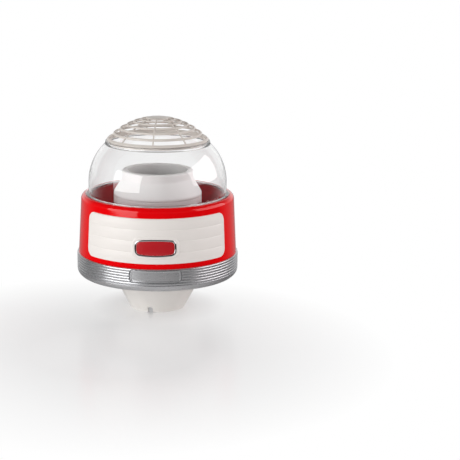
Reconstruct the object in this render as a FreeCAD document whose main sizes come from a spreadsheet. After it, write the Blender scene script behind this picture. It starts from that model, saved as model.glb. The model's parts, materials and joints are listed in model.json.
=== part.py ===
"""Hot-air popcorn maker: a red drum with a clear lift-off dome over a white heater tower.

Millimetres. The origin is on the table under the tower, +Z is up and the front faces -Y.
"""
import FreeCAD, Part
import math
import os
import re

import Sketcher

doc = FreeCAD.newDocument("popcorn_maker")
sheet = doc.addObject("Spreadsheet::Sheet", "Sizes")

# Driving dimensions: name, size, what it measures
SIZES = [
    ("ring_radius", 120.0, "silver trim ring, outside"),
    ("ring_foot_height", 53.0, "lower edge of the trim ring above the table"),
    ("ring_foot_inset", 5.3, "how far the ring's lower edge rounds in"),
    ("ring_bead_height", 9.0, "plain rounded band under the reeds"),
    ("ring_top_height", 86.0, "upper edge of the trim ring"),
    ("ring_wall", 2.4, "skirt of the trim ring round the bucket"),
    ("ring_lip", 2.5, "width of the ring's upper edge outside the shell"),
    ("reed_count", 6, "reeds round the trim ring"),
    ("reed_depth", 1.1, "height of a reed"),
    ("name_width", 69.5, "blank plate on the ring, middle to middle of its ends"),
    ("name_height", 17.8, "blank plate on the ring"),
    ("name_drop", 10.5, "middle of the blank plate below the ring's upper edge"),
    ("name_bow", 2.4, "how far each end of the blank plate bulges"),
    ("shell_taper", 4.0, "how much the red wall draws in from foot to shoulder"),
    ("shell_shoulder_height", 166.0, "where the red wall starts to round over"),
    ("shoulder_width", 4.5, "shoulder, across"),
    ("shoulder_rise", 7.0, "shoulder, up to the top of the shell"),
    ("shell_wall", 2.5, "red shell"),
    ("spigot_step", 2.1, "how far the shell steps in below the ring's upper edge"),
    ("flange_margin", 2.0, "top of the shell left bare outside the dome's flange"),
    ("flange_width", 4.8, "dome flange outside the dome's wall"),
    ("flange_thickness", 3.0, "dome flange"),
    ("dome_wall", 2.4, "clear dome"),
    ("dome_wall_height", 18.0, "straight part of the dome, from its seat"),
    ("dome_curve_radius", 77.7, "curve of the dome in side view"),
    ("dome_plug_inset", 1.7, "plug of the dome inside the dome's wall"),
    ("dome_plug_depth", 7.0, "plug of the dome in the chute"),
    ("lip_radius", 77.2, "lip round the dome's vent opening"),
    ("lip_height", 4.2, "lip round the dome's vent opening"),
    ("lip_width", 3.7, "lip round the dome's vent opening, inwards"),
    ("grille_margin", 2.0, "lip left bare outside the vent grille"),
    ("grille_rim", 1.9, "from the dome's lip up to the crown's edge"),
    ("grille_groove", 1.3, "shadow groove under the crown's edge, upwards"),
    ("grille_groove_depth", 1.2, "shadow groove under the crown's edge, inwards"),
    ("grille_rise", 33.3, "crown of the vent grille above its rim"),
    ("grille_thickness", 2.4, "bands of the vent grille"),
    ("grille_pitch", 9.85, "from one band of the vent grille to the next"),
    ("grille_band", 2.0, "width of a band of the vent grille"),
    ("grille_bands", 6, "bands round the middle disc of the vent grille"),
    ("spoke_count", 9, "spokes under the bands"),
    ("spoke_width", 1.9, "a spoke under the bands"),
    ("spoke_drop", 0.6, "top of a spoke below the tops of the bands"),
    ("spoke_turn", -4.0, "first spoke from the front, degrees"),
    ("grille_skirt", 6.0, "plug of the vent grille in the dome's lip"),
    ("grille_skirt_wall", 2.0, "plug of the vent grille"),
    ("chute_taper", 5.5, "how much the red chute draws in towards its foot"),
    ("chute_wall", 2.2, "red chute inside the shell"),
    ("chute_flange", 4.3, "flange of the chute under the shell's top"),
    ("panel_half_angle", 57.5, "half of the front panel's wrap, degrees"),
    ("panel_foot_gap", 7.5, "red left bare under the front panel"),
    ("panel_top_gap", 7.0, "red left bare above the front panel, to the shoulder"),
    ("panel_edge", 1.2, "front panel at its edge"),
    ("panel_bands", 4, "pillowed bands across the front panel"),
    ("panel_pillow", 0.7, "how far a band of the panel bulges"),
    ("panel_round", 12.0, "corners of the front panel"),
    ("badge_rise", 23.5, "middle of the badge above the panel's foot"),
    ("badge_width", 52.0, "red plate of the badge"),
    ("badge_height", 17.5, "red plate of the badge"),
    ("badge_bow", 1.6, "how far each side of the badge bulges"),
    ("badge_frame_width", 2.4, "bright frame of the badge"),
    ("badge_surround", 3.2, "white surround of the badge"),
    ("badge_level", 0.75, "how much each level of the badge stands above the last"),
    ("badge_corner", 3.0, "corners of the red plate"),
    ("seat_height", 70.0, "seat for the bucket's rim, above the table"),
    ("seat_step", 1.0, "step of the frame over the trim ring's ledge"),
    ("frame_thickness", 4.0, "outer ring of the lower frame"),
    ("arm_count", 4, "arms from the frame's ring to its hub"),
    ("arm_width", 13.0, "an arm of the lower frame"),
    ("arm_drop", 1.5, "top of an arm below the frame's top"),
    ("arm_arch", 16.0, "radius of an arm's rounded top"),
    ("hub_height", 62.0, "underside of the frame's hub"),
    ("hub_shelf", 2.0, "shelf inside the hub"),
    ("tower_radius", 65.3, "white tower, outside"),
    ("tower_wall", 2.5, "white tower"),
    ("tower_lip", 2.1, "lip of the tower inside the hub"),
    ("tower_spigot", 3.5, "how far the tower's top is below the flare"),
    ("flare_foot_height", 175.5, "where the tower starts to flare in"),
    ("flare_height", 21.5, "flared part of the chimney"),
    ("neck_height", 12.0, "upright part of the chimney"),
    ("rim_width", 8.3, "rim of the chimney"),
    ("rim_round", 2.4, "edges of the chimney's rim"),
    ("base_foot_radius", 41.0, "base cone on the table"),
    ("cone_height", 46.6, "base cone up to the upright wall"),
    ("floor_height", 10.0, "underside of the base's floor"),
    ("floor_thickness", 2.5, "floor of the base"),
    ("notch_count", 3, "air notches in the base's rim"),
    ("notch_width", 7.5, "an air notch"),
    ("notch_height", 9.0, "an air notch"),
    ("notch_turn", -13.0, "first air notch from the front, degrees"),
    ("intake_count", 18, "air slots in the base's floor"),
    ("intake_width", 3.4, "an air slot in the base's floor"),
    ("intake_length", 13.0, "an air slot in the base's floor"),
    ("intake_start", 14.0, "middle of the floor left whole"),
    ("post_count", 3, "screw posts of the tower, the motor mount and the base"),
    ("boss_radius", 3.2, "screw posts"),
    ("screw_radius", 1.5, "screw shanks"),
    ("screw_head_radius", 2.7, "screw heads"),
    ("screw_head_height", 2.0, "screw heads"),
    ("screw_bite", 8.0, "screw in its post"),
    ("column_height", 27.5, "screw columns on the base's floor"),
    ("column_place", 35.0, "screw columns from the axis"),
    ("sheet_metal", 0.8, "heater can and popping chamber"),
    ("can_flange", 3.2, "flange at the foot of the heater can"),
    ("can_drop", 8.0, "top of the heater can below the tower's top"),
    ("air_gap", 6.0, "between heater can and popping chamber"),
    ("gasket_thickness", 2.0, "gasket between chamber and chimney"),
    ("louvre_count", 16, "slanted air slots in the chamber's wall"),
    ("louvre_width", 2.2, "a slanted air slot"),
    ("louvre_height", 12.0, "a slanted air slot"),
    ("louvre_lean", 7.0, "how far a slot leans over its height"),
    ("louvre_rise", 5.0, "foot of the slots above the chamber's floor"),
    ("chamber_crown", 6.0, "cone in the middle of the chamber's floor"),
    ("chamber_crown_radius", 16.0, "cone in the middle of the chamber's floor"),
    ("heater_room", 42.0, "from the fan up to the chamber's floor"),
    ("mica_height", 20.0, "mica frame"),
    ("mica_thickness", 1.2, "mica frame"),
    ("coil_gap", 10.0, "heater can to the middle of the coil"),
    ("coil_turns", 4, "turns of the heating coil"),
    ("coil_wire", 1.2, "radius of a turn's wound wire"),
    ("thermostat_radius", 8.0, "thermostat"),
    ("thermostat_height", 8.0, "thermostat"),
    ("fuse_radius", 2.0, "thermal fuse"),
    ("fuse_length", 12.0, "thermal fuse"),
    ("fan_gap", 6.0, "fan blades to the heater can"),
    ("fan_height", 12.0, "fan"),
    ("fan_clearance", 2.0, "fan above the hub's shelf"),
    ("fan_hub_radius", 8.0, "fan hub"),
    ("blade_count", 7, "fan blades"),
    ("blade_chord", 12.0, "a fan blade in plan"),
    ("blade_thickness", 1.6, "a fan blade"),
    ("shaft_radius", 1.6, "motor shaft"),
    ("running_fit", 0.04, "shaft or pin in its bush"),
    ("seat_fit", 0.3, "pieces that slip into one another"),
    ("mount_thickness", 4.0, "motor mount"),
    ("mount_ring_width", 9.0, "outer ring of the motor mount"),
    ("mount_arm_width", 10.0, "an arm of the motor mount"),
    ("motor_radius", 18.0, "motor can"),
    ("motor_length", 30.0, "motor can"),
    ("motor_neck_radius", 6.0, "neck of the motor in its mount"),
    ("motor_neck_height", 3.2, "neck of the motor in its mount"),
    ("motor_cap_height", 3.0, "end cap of the motor"),
    ("motor_screw_place", 11.0, "motor screws from the axis"),
    ("bush_radius", 3.4, "motor bushes"),
    ("bush_height", 3.0, "motor bushes"),
    ("board_radius", 15.0, "rectifier board"),
    ("board_thickness", 1.6, "rectifier board"),
    ("diode_radius", 1.4, "a rectifier diode"),
    ("diode_length", 5.0, "a rectifier diode"),
    ("diode_place", 10.5, "diodes from the axis"),
    ("land_inset", 0.5, "face of the flat rear land inside the wall's foot"),
    ("land_depth", 6.0, "flat land, through"),
    ("land_width", 34.0, "flat land at the rear"),
    ("land_round", 5.0, "corners of the flat land"),
    ("land_top_gap", 10.0, "red left bare above the land, to the shoulder"),
    ("switch_drop", 18.0, "middle of the switch below the top of the land"),
    ("switch_width", 13.0, "body of the switch"),
    ("switch_height", 20.0, "body of the switch"),
    ("switch_depth", 13.0, "body of the switch behind the land"),
    ("switch_wall", 1.3, "walls of the switch"),
    ("bezel_width", 1.6, "bezel of the switch past its body"),
    ("bezel_thickness", 1.5, "bezel of the switch"),
    ("rocker_gap", 0.4, "rocker in its well"),
    ("rocker_pivot_depth", 1.9, "pivot of the rocker behind the bezel's face"),
    ("rocker_crown", 3.2, "crest of the rocker from its pivot"),
    ("rocker_edge", 1.5, "ends of the rocker's face from its pivot"),
    ("rocker_belly", 4.6, "back of the rocker from its pivot"),
    ("rocker_tilt", 9.0, "rocker from its middle to either side, degrees"),
    ("pin_radius", 1.2, "pins of the rocker"),
    ("gland_drop", 26.0, "middle of the cord gland below the middle of the switch"),
    ("gland_margin", 10.0, "middle of the cord gland above the land's foot"),
    ("gland_bore", 3.4, "radius of the hole for the cord"),
    ("gland_barrel", 6.0, "radius of the gland in the land"),
    ("gland_collar", 7.6, "radius of the gland's collars"),
    ("gland_collar_thickness", 2.4, "collars of the gland"),
]
for row, (alias, size, note) in enumerate(SIZES, 1):
    sheet.set(f"A{row}", note)
    sheet.set(f"B{row}", str(size))
    sheet.setAlias(f"B{row}", alias)
doc.recompute()

ALIASES = {alias for alias, size, note in SIZES}
WORD = re.compile(r"[a-z_]+")


def full(expression):
    """Write a size expression with each alias named as a cell of the sheet."""
    return WORD.sub(lambda word: "Sizes." + word[0] if word[0] in ALIASES else word[0], str(expression))


def size(expression):
    """Work a size expression out as a number, from the sheet."""
    result = sheet.evalExpression(full(expression))
    return float(getattr(result, "Value", result))


def bind(thing, name, expression):
    thing.setExpression(name, full(expression))


# Places that several pieces share, as expressions of the sizes
RING_CORE = "(ring_radius - reed_depth)"
RING_FOOT = "(ring_radius - ring_foot_inset)"
SKIRT_IN = f"({RING_FOOT} - ring_wall)"
SHELL_FOOT = "(ring_radius - ring_lip)"
SPIGOT_OUT = f"({SHELL_FOOT} - spigot_step)"
SPIGOT_IN = f"({SPIGOT_OUT} - shell_wall)"
RING_BORE = f"({SPIGOT_OUT} + seat_fit)"
SHOULDER = f"({SHELL_FOOT} - shell_taper)"
WALL_RISE = "(shell_shoulder_height - ring_top_height)"
SHELL_TOP = "(shell_shoulder_height + shoulder_rise)"
SHELL_TOP_RADIUS = f"({SHOULDER} - shoulder_width)"
FLANGE = f"({SHELL_TOP_RADIUS} - flange_margin)"
DOME = f"({FLANGE} - flange_width)"
CHUTE_MOUTH = f"({DOME} - dome_plug_inset)"
DOME_PLUG = f"({CHUTE_MOUTH} - seat_fit)"
CHUTE_FOOT = f"({CHUTE_MOUTH} - chute_taper)"
POST_AT = f"(({CHUTE_FOOT} + chute_wall + {SPIGOT_IN}) / 2)"
FRAME_TOP = "(seat_height + frame_thickness)"
LEDGE = "(seat_height + seat_step)"
SHELF_TOP = "(hub_height + hub_shelf)"
DOME_CURVE_Z = f"({SHELL_TOP} + dome_wall_height)"
DOME_CURVE_R = f"({DOME} - dome_curve_radius)"
LIP_FOOT = f"({DOME_CURVE_Z} + sqrt(dome_curve_radius^2 - (lip_radius - {DOME_CURVE_R})^2))"
LIP_TOP = f"({LIP_FOOT} + lip_height)"
LIP_BORE = "(lip_radius - lip_width)"
GRILLE = "(lip_radius - grille_margin)"
CAP_FOOT = f"({LIP_TOP} + grille_rim)"
CAP_RADIUS = f"(({GRILLE}^2 + grille_rise^2) / (2 * grille_rise))"
CAP_CENTRE = f"({CAP_FOOT} + grille_rise - {CAP_RADIUS})"
TOWER_IN = "(tower_radius - tower_wall)"
TOWER_TOP = "(flare_foot_height - tower_spigot)"
LIP_OUT = f"({TOWER_IN} - seat_fit)"
LIP_IN = f"({LIP_OUT} - tower_lip)"
BOSS_AT = f"({LIP_IN} - 0.75 * boss_radius)"
CAN_FLANGE = f"({BOSS_AT} - boss_radius - 2 * seat_fit)"
CAN_OUT = f"({CAN_FLANGE} - can_flange)"
CAN_IN = f"({CAN_OUT} - sheet_metal)"
CAN_TOP = f"({TOWER_TOP} - can_drop)"
CHAMBER_OUT = f"({CAN_IN} - air_gap)"
CHAMBER_IN = f"({CHAMBER_OUT} - sheet_metal)"
CHIMNEY_OUT = f"({CHAMBER_OUT} + rim_width)"
FLARE_TOP = "(flare_foot_height + flare_height)"
CHIMNEY_TOP = f"({FLARE_TOP} + neck_height)"
GASKET_FOOT = f"({CAN_TOP} + sheet_metal)"
GASKET_TOP = f"({GASKET_FOOT} + gasket_thickness)"
FAN_FOOT = f"({SHELF_TOP} + fan_clearance)"
FAN_TOP = f"({FAN_FOOT} + fan_height)"
FAN_RADIUS = f"({CAN_IN} - fan_gap)"
CHAMBER_FLOOR = f"({FAN_TOP} + heater_room)"
MICA_TOP = f"({CHAMBER_FLOOR} - sheet_metal - 1.4 * thermostat_height)"
MICA_FOOT = f"({MICA_TOP} - mica_height)"
COIL_RADIUS = f"({CAN_IN} - coil_gap)"
FLOOR_TOP = "(floor_height + floor_thickness)"
CONE_SLOPE = "((tower_radius - base_foot_radius) / cone_height)"
CONE_WALL = f"(tower_wall * sqrt(1 + {CONE_SLOPE}^2))"
COLUMN_TOP = f"({FLOOR_TOP} + column_height)"
MOUNT_FOOT = "(hub_height - mount_thickness)"
MOUNT_RING_OUT = f"({TOWER_IN} - 6 * seat_fit)"
MOUNT_RING_IN = f"({MOUNT_RING_OUT} - mount_ring_width)"
MOTOR_FOOT = f"({MOUNT_FOOT} - motor_length)"
CAP_BOTTOM = f"({MOTOR_FOOT} - motor_cap_height)"
SHAFT_BORE = "(shaft_radius + running_fit)"
PANEL_FOOT = "(ring_top_height + panel_foot_gap)"
PANEL_TOP = "(shell_shoulder_height - panel_top_gap)"
BADGE_Z = f"({PANEL_FOOT} + badge_rise)"
NAME_Z = "(ring_top_height - name_drop)"
LAND_FACE = f"({SHELL_FOOT} - land_inset)"
LAND_BACK = f"({LAND_FACE} - land_depth)"
LAND_TOP = "(shell_shoulder_height - land_top_gap)"
SWITCH_Z = f"({LAND_TOP} - switch_drop)"
GLAND_Z = f"({SWITCH_Z} - gland_drop)"
LAND_FOOT = f"({GLAND_Z} - gland_margin)"
BEZEL_FACE = f"({LAND_FACE} + bezel_thickness)"
PIVOT_Y = f"({BEZEL_FACE} - rocker_pivot_depth)"


def shell_wall_radius(height):
    """Outside of the red wall at a height: a straight taper from its foot to its shoulder."""
    return f"({SHELL_FOOT} - shell_taper * ({height} - ring_top_height) / {WALL_RISE})"


def cap_height(radius, drop="0"):
    """Height of the vent grille's crown at a radius, on a ball that is drop smaller."""
    return f"({CAP_CENTRE} + sqrt(({CAP_RADIUS} - {drop})^2 - ({radius})^2))"


SUBPARTS = []


def keep(thing, label):
    """Name a finished sub-part, which is then written to a file of that name."""
    thing.Label = label
    SUBPARTS.append(thing)
    return thing


def new_body(name):
    return doc.addObject("PartDesign::Body", name)


def origin_feature(body, role):
    return next(item for item in body.Origin.OriginFeatures if item.Role == role)


def new_sketch(body, name, role, offset=("0", "0", "0")):
    """Start a sketch on one of the body's own planes, moved along the sketch's own axes."""
    sketch = body.newObject("Sketcher::SketchObject", name)
    sketch.AttachmentSupport = (origin_feature(body, role), [""])
    sketch.MapMode = "FlatFace"
    for axis, expression in zip("xyz", offset):
        bind(sketch, "AttachmentOffset.Base." + axis, expression)
    return sketch


HALF_ROUND = 0.0001     # an arc whose radius is half its chord, this nearly, is a half circle


def arc_between(start, end, radius, turn):
    """Arc from start to end that bulges to the right of the way along it, or to the left."""
    chord = end - start
    middle = (start + end) * 0.5
    reach = math.sqrt(max(radius ** 2 - chord.Length ** 2 / 4, 0))
    aside = FreeCAD.Vector(-chord.y, chord.x, 0).normalize()
    centre = middle + aside * (reach if turn == "right" else -reach)
    first = math.atan2(start.y - centre.y, start.x - centre.x)
    last = math.atan2(end.y - centre.y, end.x - centre.x)
    if turn == "left":
        first, last = last, first
    return Part.ArcOfCircle(Part.Circle(centre, FreeCAD.Vector(0, 0, 1), radius), first, last)


def outline(sketch, corners):
    """Draw a closed outline. A corner is (across, up), or (across, up, radius, bulge side)
    where the stretch that starts there is an arc."""
    places = [FreeCAD.Vector(size(corner[0]), size(corner[1]), 0) for corner in corners]
    starts = []
    rules = []
    radii = []
    for number, corner in enumerate(corners):
        start = places[number]
        end = places[(number + 1) % len(places)]
        if len(corner) == 4:
            edge = sketch.addGeometry(arc_between(start, end, size(corner[2]), corner[3]))
            starts.append((edge, 1, 2) if corner[3] == "right" else (edge, 2, 1))
            radii.append((edge, corner[2], (end - start).Length))
        else:
            edge = sketch.addGeometry(Part.LineSegment(start, end))
            starts.append((edge, 1, 2))
    for number, (edge, start, end) in enumerate(starts):
        following = starts[(number + 1) % len(starts)]
        rules.append(Sketcher.Constraint("Coincident", edge, end, following[0], following[1]))
    bound = []
    for number, (edge, start, end) in enumerate(starts):
        for kind, expression, place in (("DistanceX", corners[number][0], places[number].x),
                                        ("DistanceY", corners[number][1], places[number].y)):
            bound.append((len(rules), expression))
            rules.append(Sketcher.Constraint(kind, -1, 1, edge, start, place))
    for edge, expression, chord in radii:
        if abs(chord / 2 - size(expression)) < HALF_ROUND:
            rules.append(Sketcher.Constraint("Symmetric", edge, 1, edge, 2, edge, 3))
        else:
            bound.append((len(rules), expression))
            rules.append(Sketcher.Constraint("Radius", edge, size(expression)))
    base = sketch.ConstraintCount
    sketch.addConstraint(rules)
    for number, expression in bound:
        bind(sketch, f"Constraints[{base + number}]", expression)


def round_hole(sketch, across, up, radius):
    """Draw a circle by its middle and radius."""
    middle = FreeCAD.Vector(size(across), size(up), 0)
    edge = sketch.addGeometry(Part.Circle(middle, FreeCAD.Vector(0, 0, 1), size(radius)))
    base = sketch.ConstraintCount
    sketch.addConstraint([Sketcher.Constraint("DistanceX", -1, 1, edge, 3, middle.x),
                          Sketcher.Constraint("DistanceY", -1, 1, edge, 3, middle.y),
                          Sketcher.Constraint("Radius", edge, size(radius))])
    for number, expression in enumerate((across, up, radius)):
        bind(sketch, f"Constraints[{base + number}]", expression)


def bow_radius(length, bow):
    """Radius of an arc that bulges by bow over a straight length."""
    return f"((({length}) / 2)^2 + ({bow})^2) / (2 * ({bow}))"


def soft_box(width, height, corner, middle="0", bow=None, end_bow=None):
    """Corners of a rectangle with round corners about a middle height, whose long sides
    bulge by bow and whose ends bulge by end_bow, where these are given."""
    across = f"(({width}) / 2)"
    up = f"(({height}) / 2)"
    corner = f"({corner})"
    side = (bow_radius(f"{width} - 2 * {corner}", bow), "right") if bow else ()
    end = (bow_radius(f"{height} - 2 * {corner}", end_bow), "right") if end_bow else ()
    turn = (corner, "right")
    low = f"{middle} - {up}"
    high = f"{middle} + {up}"
    return [(f"{corner} - {across}", low, *side),
            (f"{across} - {corner}", low, *turn),
            (across, f"{low} + {corner}", *end),
            (across, f"{high} - {corner}", *turn),
            (f"{across} - {corner}", high, *side),
            (f"{corner} - {across}", high, *turn),
            (f"0 - {across}", f"{high} - {corner}", *end),
            (f"0 - {across}", f"{low} + {corner}", *turn)]


def square_box(left, right, low, high):
    """Corners of a plain rectangle."""
    return [(left, low), (right, low), (right, high), (left, high)]


def revolve(body, sketch, name, angle="360", axis="V_Axis"):
    feature = body.newObject("PartDesign::Revolution", name)
    feature.Profile = sketch
    feature.ReferenceAxis = (sketch, [axis])
    feature.Midplane = angle != "360"
    bind(feature, "Angle", angle)
    return feature


def pad(body, sketch, name, length, both_ways=False, backwards=False):
    feature = body.newObject("PartDesign::Pad", name)
    feature.Profile = sketch
    feature.SideType = "Symmetric" if both_ways else "One side"
    feature.Reversed = backwards
    bind(feature, "Length", length)
    return feature


def pocket(body, sketch, name, length, both_ways=False, backwards=False):
    feature = body.newObject("PartDesign::Pocket", name)
    feature.Profile = sketch
    feature.SideType = "Symmetric" if both_ways else "One side"
    feature.Reversed = backwards
    bind(feature, "Length", length)
    return feature


def polar(body, feature, name, count):
    """Repeat a feature evenly round the body's upright axis."""
    pattern = body.newObject("PartDesign::PolarPattern", name)
    pattern.Originals = [feature]
    pattern.Axis = (origin_feature(body, "Z_Axis"), [""])
    pattern.Angle = 360
    bind(pattern, "Occurrences", count)
    body.Tip = pattern
    return pattern


def turned(label, *outlines):
    """A body of revolution about the upright axis, from outlines in (radius, height)."""
    body = new_body(label)
    sketch = new_sketch(body, label + "_section", "XZ_Plane")
    for corners in outlines:
        outline(sketch, corners)
    revolve(body, sketch, label + "_turned")
    return body


def joined(kind, label, base, tool):
    """A boolean of two objects: Fuse, Cut or Common."""
    result = doc.addObject("Part::" + kind, label)
    result.Base = base
    result.Tool = tool
    return result


def curved_plate(label, inner, outer, low, high, corners):
    """A plate bent round the front: the wall between two radii, within an outline seen from
    the front. inner and outer give a radius for a height."""
    wall = turned(label + "_wall", [(inner(low), low), (outer(low), low),
                                    (outer(high), high), (inner(high), high)])
    block = new_body(label + "_block")
    sketch = new_sketch(block, label + "_outline", "XZ_Plane")
    outline(sketch, corners)
    pad(block, sketch, label + "_forward", "2 * ring_radius")
    return joined("Common", label, wall, block)


def screws(label, place, seat, length, count, head_up=False):
    """Pan-head screws round the axis. seat is the height of the face under the heads."""
    way = "-" if head_up else "+"
    head = "+" if head_up else "-"
    body = new_body(label)
    sketch = new_sketch(body, label + "_section", "XZ_Plane", (place, "0", "0"))
    tip = f"{seat} {way} ({length})"
    crown = f"{seat} {head} screw_head_height"
    corners = [("0", tip), ("screw_radius", tip), ("screw_radius", seat),
               ("screw_head_radius", seat), ("screw_head_radius", crown), ("0", crown)]
    outline(sketch, corners)
    polar(body, revolve(body, sketch, label + "_turned"), label + "_group", count)
    return keep(body, label)


def posts(body, name, place, foot, height, count, backwards=False):
    """Hollow screw posts round the axis, on a level plane."""
    sketch = new_sketch(body, name + "_plan", "XY_Plane", ("0", "0", foot))
    round_hole(sketch, place, "0", "boss_radius")
    round_hole(sketch, place, "0", "screw_radius + running_fit")
    return polar(body, pad(body, sketch, name, height, backwards=backwards), name + "_ring", count)


def drill(body, name, across, aside, radius, foot, depth, count):
    """Round holes round the axis, upwards from a level plane."""
    sketch = new_sketch(body, name + "_plan", "XY_Plane", ("0", "0", foot))
    round_hole(sketch, across, aside, radius)
    return polar(body, pocket(body, sketch, name, depth, backwards=True), name + "_ring", count)


def make_vent_grille():
    """Crowned vent grille: a skirted outer band, bands round a middle disc, and spokes."""
    skirt_out = f"({LIP_BORE} - running_fit)"
    skirt_in = f"({skirt_out} - grille_skirt_wall)"
    skirt_foot = f"{LIP_TOP} - grille_skirt"
    body = new_body("vent_grille")
    sketch = new_sketch(body, "vent_grille_section", "XZ_Plane")
    neck = f"({GRILLE} - grille_groove_depth)"
    groove_top = f"({LIP_TOP} + grille_groove)"
    outline(sketch, [(skirt_in, skirt_foot), (skirt_out, skirt_foot), (skirt_out, LIP_TOP), (neck, LIP_TOP),
                     (neck, groove_top), (GRILLE, groove_top), (GRILLE, CAP_FOOT, CAP_RADIUS, "right"),
                     (skirt_in, cap_height(skirt_in))])
    for number in range(1, int(size("grille_bands"))):
        far = f"({GRILLE} - {number} * grille_pitch)"
        near = f"({far} - grille_band)"
        outline(sketch, [(near, cap_height(near, "grille_thickness")),
                         (far, cap_height(far, "grille_thickness")),
                         (far, cap_height(far), CAP_RADIUS, "right"), (near, cap_height(near))])
    disc = f"({GRILLE} - grille_bands * grille_pitch)"
    outline(sketch, [("0", cap_height("0", "grille_thickness")), (disc, cap_height(disc, "grille_thickness")),
                     (disc, cap_height(disc), CAP_RADIUS, "right"), ("0", cap_height("0"))])
    revolve(body, sketch, "vent_grille_bands")
    side = new_sketch(body, "spoke_side", "XZ_Plane")
    side.AttachmentOffset = FreeCAD.Placement(FreeCAD.Vector(), FreeCAD.Rotation(FreeCAD.Vector(0, 1, 0), 1))
    bind(side, "AttachmentOffset.Rotation.Angle", "spoke_turn - 90")
    start = f"({disc} / 2)"
    end = f"({skirt_out} - grille_skirt_wall / 2)"
    under = "(grille_thickness + spoke_drop)"
    outline(side, [(start, cap_height(start, under), f"{CAP_RADIUS} - {under}", "left"),
                   (end, cap_height(end, under)),
                   (end, cap_height(end, "spoke_drop"), f"{CAP_RADIUS} - spoke_drop", "right"),
                   (start, cap_height(start, "spoke_drop"))])
    spoke = pad(body, side, "spoke", "spoke_width", both_ways=True)
    polar(body, spoke, "spokes", "spoke_count")
    keep(body, "vent_grille")


def make_dome():
    """Clear dome: a flange on the shell, a plug in the chute and a curve up to a lipped opening."""
    plug_in = f"({DOME_PLUG} - dome_wall)"
    wall_in = f"({DOME} - dome_wall)"
    curve_in = "(dome_curve_radius - dome_wall)"
    lip_root = "(lip_radius - dome_wall)"
    lip_under = f"{DOME_CURVE_Z} + sqrt({curve_in}^2 - ({lip_root} - {DOME_CURVE_R})^2)"
    flange_top = f"{SHELL_TOP} + flange_thickness"
    body = turned("dome", [
        (plug_in, f"{SHELL_TOP} - dome_plug_depth"), (DOME_PLUG, f"{SHELL_TOP} - dome_plug_depth"),
        (DOME_PLUG, SHELL_TOP), (FLANGE, SHELL_TOP), (FLANGE, flange_top), (DOME, flange_top),
        (DOME, DOME_CURVE_Z, "dome_curve_radius", "right"), ("lip_radius", LIP_FOOT),
        ("lip_radius", LIP_TOP), (LIP_BORE, LIP_TOP), (LIP_BORE, lip_under),
        (lip_root, lip_under, curve_in, "left"), (wall_in, DOME_CURVE_Z), (wall_in, flange_top),
        (plug_in, SHELL_TOP)])
    keep(body, "dome")


def make_outer_shell():
    """Red drum: tapered wall, rounded shoulder, spigot in the trim ring, screw posts, and a
    flat land at the rear for the switch and the cord gland."""
    mouth = f"({CHUTE_MOUTH} + chute_wall + seat_fit)"
    under = f"{SHELL_TOP} - shell_wall"
    shoulder_arc = "(shoulder_width^2 + shoulder_rise^2) / (2 * shoulder_width)"
    inner_rise = "(shoulder_rise - shell_wall)"
    inner_arc = f"(shoulder_width^2 + {inner_rise}^2) / (2 * shoulder_width) * 1.02"
    body = turned("outer_shell", [
        (SPIGOT_IN, FRAME_TOP), (SPIGOT_OUT, FRAME_TOP), (SPIGOT_OUT, "ring_top_height"),
        (SHELL_FOOT, "ring_top_height"), (SHOULDER, "shell_shoulder_height", shoulder_arc, "right"),
        (SHELL_TOP_RADIUS, SHELL_TOP), (mouth, SHELL_TOP), (mouth, under),
        (f"{SHELL_TOP_RADIUS} - shell_wall / 2", under, inner_arc, "left"),
        (f"{SHOULDER} - shell_wall", "shell_shoulder_height"), (SPIGOT_IN, "ring_top_height")])
    plan = new_sketch(body, "post_plan", "XY_Plane", ("0", "0", FRAME_TOP))
    root = f"{SPIGOT_IN} + shell_wall / 2"
    outline(plan, [(POST_AT, "0 - boss_radius"), (root, "0 - boss_radius"), (root, "boss_radius"),
                   (POST_AT, "boss_radius", "boss_radius", "right")])
    round_hole(plan, POST_AT, "0", "screw_radius + running_fit")
    polar(body, pad(body, plan, "post", "2 * screw_bite"), "posts", "arm_count")
    face = ("0", "0", f"0 - {LAND_FACE}")
    land = new_sketch(body, "land_outline", "XZ_Plane", face)
    outline(land, soft_box("land_width", f"{LAND_TOP} - {LAND_FOOT}", "land_round",
                           f"({LAND_TOP} + {LAND_FOOT}) / 2"))
    pad(body, land, "land", "land_depth")
    cuts = new_sketch(body, "land_cuts", "XZ_Plane", face)
    room = "2 * running_fit"
    outline(cuts, soft_box(f"switch_width + {room}", f"switch_height + {room}", "switch_wall", SWITCH_Z))
    round_hole(cuts, "0", GLAND_Z, "gland_barrel + running_fit")
    pocket(body, cuts, "land_openings", "2 * land_depth", backwards=True)
    keep(body, "outer_shell")


def make_chute_liner():
    """Red chute inside the shell, drawn in towards its foot, with a flange under the shell's top."""
    land = f"{SHELL_TOP} - dome_plug_depth - 2 * dome_wall"
    under = f"{SHELL_TOP} - shell_wall"
    out = f"({CHUTE_MOUTH} + chute_wall)"
    body = turned("chute_liner", [
        (CHUTE_FOOT, FRAME_TOP), (f"{CHUTE_FOOT} + chute_wall", FRAME_TOP), (out, land),
        (out, f"{under} - chute_wall"), (f"{out} + chute_flange", f"{under} - chute_wall"),
        (f"{out} + chute_flange", under), (out, under), (out, SHELL_TOP),
        (CHUTE_MOUTH, SHELL_TOP), (CHUTE_MOUTH, land)])
    keep(body, "chute_liner")


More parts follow.
